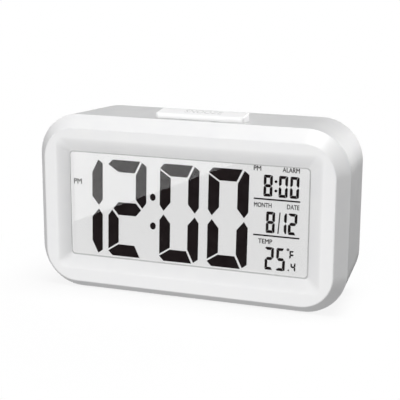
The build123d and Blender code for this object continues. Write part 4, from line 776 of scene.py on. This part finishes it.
# Where the sleeve and its pale band begin and end, as shares of the cell's length from its flat end.
SLEEVE_FROM, BAND_FROM, BAND_TO, SLEEVE_TO = 0.03, 0.72, 0.76, 0.965
SLEEVE_PRINT = ((0.0, "#b9b7b2"), (SLEEVE_FROM, "#2f5f86"), (BAND_FROM, "#d7dadb"), (BAND_TO, "#3d7096"),
                (SLEEVE_TO, "#b9b7b2"))
BARE_STEEL = ((0.0, "#ffffff"), (SLEEVE_FROM, "#000000"), (SLEEVE_TO, "#ffffff"))


def cell_sleeve(name, start, end):
    """Printed film over steel: glossy bands of plain colour, a little scuffed, and metal at both ends."""
    made, tree, place = material(name)
    along = node(tree, "SeparateXYZ", {"Vector": place})
    share = node(tree, "MapRange", {"Value": along.outputs["X"], "From Min": start * MM,
                                    "From Max": end * MM})
    bands = node(tree, "ValToRGB", {"Fac": share.outputs["Result"]}, SLEEVE_PRINT)
    bare = node(tree, "ValToRGB", {"Fac": share.outputs["Result"]}, BARE_STEEL)
    for ramp in (bands, bare):
        ramp.color_ramp.interpolation = "CONSTANT"
    scuff = node(tree, "TexNoise", {"Vector": place, "Scale": 1 / (SCUFF_SIZE * MM), "Detail": LUMP_DETAIL})
    rough = node(tree, "MapRange", {"Value": scuff.outputs["Fac"], "To Min": 0.22, "To Max": 0.36})
    shade(tree, "BsdfPrincipled", {"Base Color": bands.outputs["Color"], "Metallic": bare.outputs["Color"],
                                   "Roughness": rough.outputs["Result"]})
    return made


# A cell's flat end is the one on its spring's side.
for number, side in enumerate(SPRING_SIDES, 1):
    start, end = extent(f"battery_cell_{number}")[::-side, 0]
    dress(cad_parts[f"battery_cell_{number}"], cell_sleeve(f"cell_sleeve_{number}", start, end))

# Floor: a matt white table top that keeps a faint shadow round the clock and is plain white further out.
# Sizes are in metres from the clock's middle.
FLOOR_HALF, SHADOW_NEAR, SHADOW_FAR, PLAIN_SHARE = 6.0, 0.05, 0.13, 0.85


def seen(tree):
    """The light path, and 1 where it leads from the eye straight or through a clear piece, else 0."""
    path = node(tree, "LightPath")
    direct = node(tree, "Math", {0: path.outputs["Is Camera Ray"], 1: path.outputs["Is Transmission Ray"]},
                  operation="MAXIMUM")
    return path, direct.outputs[0]


def white_table():
    """Matt lacquer: white to the eye, shadowed at part strength near the clock, dim in reflections."""
    made, tree, place = material("white_table")
    path, direct = seen(tree)
    away = node(tree, "VectorMath", {0: place}, operation="LENGTH")
    clear = node(tree, "MapRange", {"Value": away.outputs["Value"], "From Min": SHADOW_NEAR,
                                    "From Max": SHADOW_FAR, "To Min": PLAIN_SHARE})
    plain = node(tree, "Math", {0: clear.outputs["Result"], 1: direct}, operation="MULTIPLY")
    colour = node(tree, "ValToRGB", {"Fac": path.outputs["Is Glossy Ray"]},
                  ((0.0, "#f2f2f2"), (1.0, "#404040")))
    matt = node(tree, "BsdfDiffuse", {"Color": colour.outputs["Color"]})
    white = node(tree, "Emission", {"Color": linear("#ffffff"), "Strength": 1.0})
    shade(tree, "MixShader", {0: plain.outputs[0], 1: matt.outputs[0], 2: white.outputs[0]})
    return made


corners = FLOOR_HALF * np.array([[-1, -1, 0], [1, -1, 0], [1, 1, 0], [-1, 1, 0]])
mesh = bpy.data.meshes.new("floor")
mesh.from_pydata(corners.tolist(), [], [(0, 1, 2, 3)])
floor = bpy.data.objects.new("floor", mesh)
bpy.context.scene.collection.objects.link(floor)
dress(floor, white_table())
floor.visible_shadow = False
floor.visible_diffuse = False

# Light: large softboxes round the clock in a white room, and a low card at the front left whose reflection
# veils part of the window. The key light leaves out the window and the LCD's glass, and the card lights the
# window alone.
LAMP_DISTANCE, ROOM_FILL = 3.5, 0.04

# Each softbox has its bearing from the front and its height in degrees, its size in metres and its watts.
LAMPS = (
    ("key", -18, -13, 1.4, 3.6, 113.0),
    ("top", 90, 80, 1.8, 1.8, 112.0),
    ("front_high", 0, 45, 1.8, 1.8, 15.0),
    ("right_side", 80, 0, 1.8, 1.8, 8.0),
    ("right_back", 108, 0, 1.8, 1.8, 18.0),
    ("far_back", 152, 12, 1.8, 1.8, 56.0),
    ("left_back", 225, -20, 1.8, 1.8, 20.0),
)
CARD_FROM, CARD_TO = Vector((-0.110, -0.085, 0.0)), Vector((-0.062, -0.345, 0.0))
CARD_HEIGHT, CARD_WATTS = 0.09, 0.275


def bearing(turn, lift):
    """Direction out from the clock, turned from the front to the right and lifted, both in degrees."""
    turn, lift = math.radians(turn), math.radians(lift)
    return Vector((math.sin(turn) * math.cos(lift), -math.cos(turn) * math.cos(lift), math.sin(lift)))


def softbox(name, wide, tall, watts, place, facing):
    """An area lamp of that size in metres, at a place, shining against the direction that it is given."""
    lamp = bpy.data.lights.new(name, "AREA")
    lamp.shape = "RECTANGLE"
    lamp.size = wide
    lamp.size_y = tall
    lamp.energy = watts
    lit = bpy.data.objects.new(name, lamp)
    bpy.context.scene.collection.objects.link(lit)
    lit.location = place
    lit.rotation_euler = facing.to_track_quat("Z", "Y").to_euler()
    return lit


def light_group(name, nodes, state):
    """A group of nodes that a lamp takes in or leaves out."""
    group = bpy.data.collections.new(name)
    for number, member in enumerate(nodes):
        group.objects.link(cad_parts[member])
        group.collection_objects[number].light_linking.link_state = state
    return group


for name, turn, lift, wide, tall, watts in LAMPS:
    way = bearing(turn, lift)
    lit = softbox(name, wide, tall, watts, way * LAMP_DISTANCE, way)
    if name == "key":
        all_but_pane = light_group("all_but_pane", ("display_window", "lcd_front_glass"), "EXCLUDE")
        lit.light_linking.receiver_collection = all_but_pane

run = CARD_TO - CARD_FROM
card_place = (CARD_FROM + CARD_TO) / 2 + Vector((0, 0, CARD_HEIGHT / 2))
card = softbox("card", run.length, CARD_HEIGHT, CARD_WATTS, card_place, Vector((run.y, -run.x, 0)))
card.light_linking.receiver_collection = light_group("pane_only", ("display_window",), "INCLUDE")

world = bpy.data.worlds.new("white_room")
bpy.context.scene.world = world
world.use_nodes = True
tree = world.node_tree
tree.nodes.clear()
fill = node(tree, "Background", {"Color": linear("#ffffff"), "Strength": ROOM_FILL})
white = node(tree, "Background", {"Color": linear("#ffffff"), "Strength": 1.0})
sky = node(tree, "MixShader", {0: seen(tree)[1], 1: fill.outputs[0], 2: white.outputs[0]})
node(tree, "OutputWorld", {"Surface": sky.outputs[0]})

# Camera: where the photograph was taken from, a little right of the clock and above it. The angles are in
# degrees, the lens and its sensor in millimetres, and the lift moves the camera up within its own picture.
LENS, SENSOR, DISTANCE, PICTURE_LIFT, AIM_DEPTH = 96.42, 36.0, 456.74, 1.555, 20.0
AZIMUTH, ELEVATION, TILT = 19.695, 13.509, math.radians(0.275)
AIM = Vector((0, FRONT + AIM_DEPTH, MIDDLE))
camera = bpy.data.cameras.new("camera")
camera.lens = LENS
camera.sensor_width = SENSOR
eye = bpy.data.objects.new("camera", camera)
bpy.context.scene.collection.objects.link(eye)
bpy.context.scene.camera = eye
back = bearing(AZIMUTH, ELEVATION)
right = bearing(AZIMUTH + 90, 0)
up = back.cross(right)
across = right * math.cos(TILT) + up * math.sin(TILT)
upward = up * math.cos(TILT) - right * math.sin(TILT)
eye.matrix_world = Matrix((across, upward, back)).transposed().to_4x4()
eye.location = (AIM + back * DISTANCE + upward * PICTURE_LIFT) * MM

bpy.context.scene.view_settings.view_transform = "Standard"
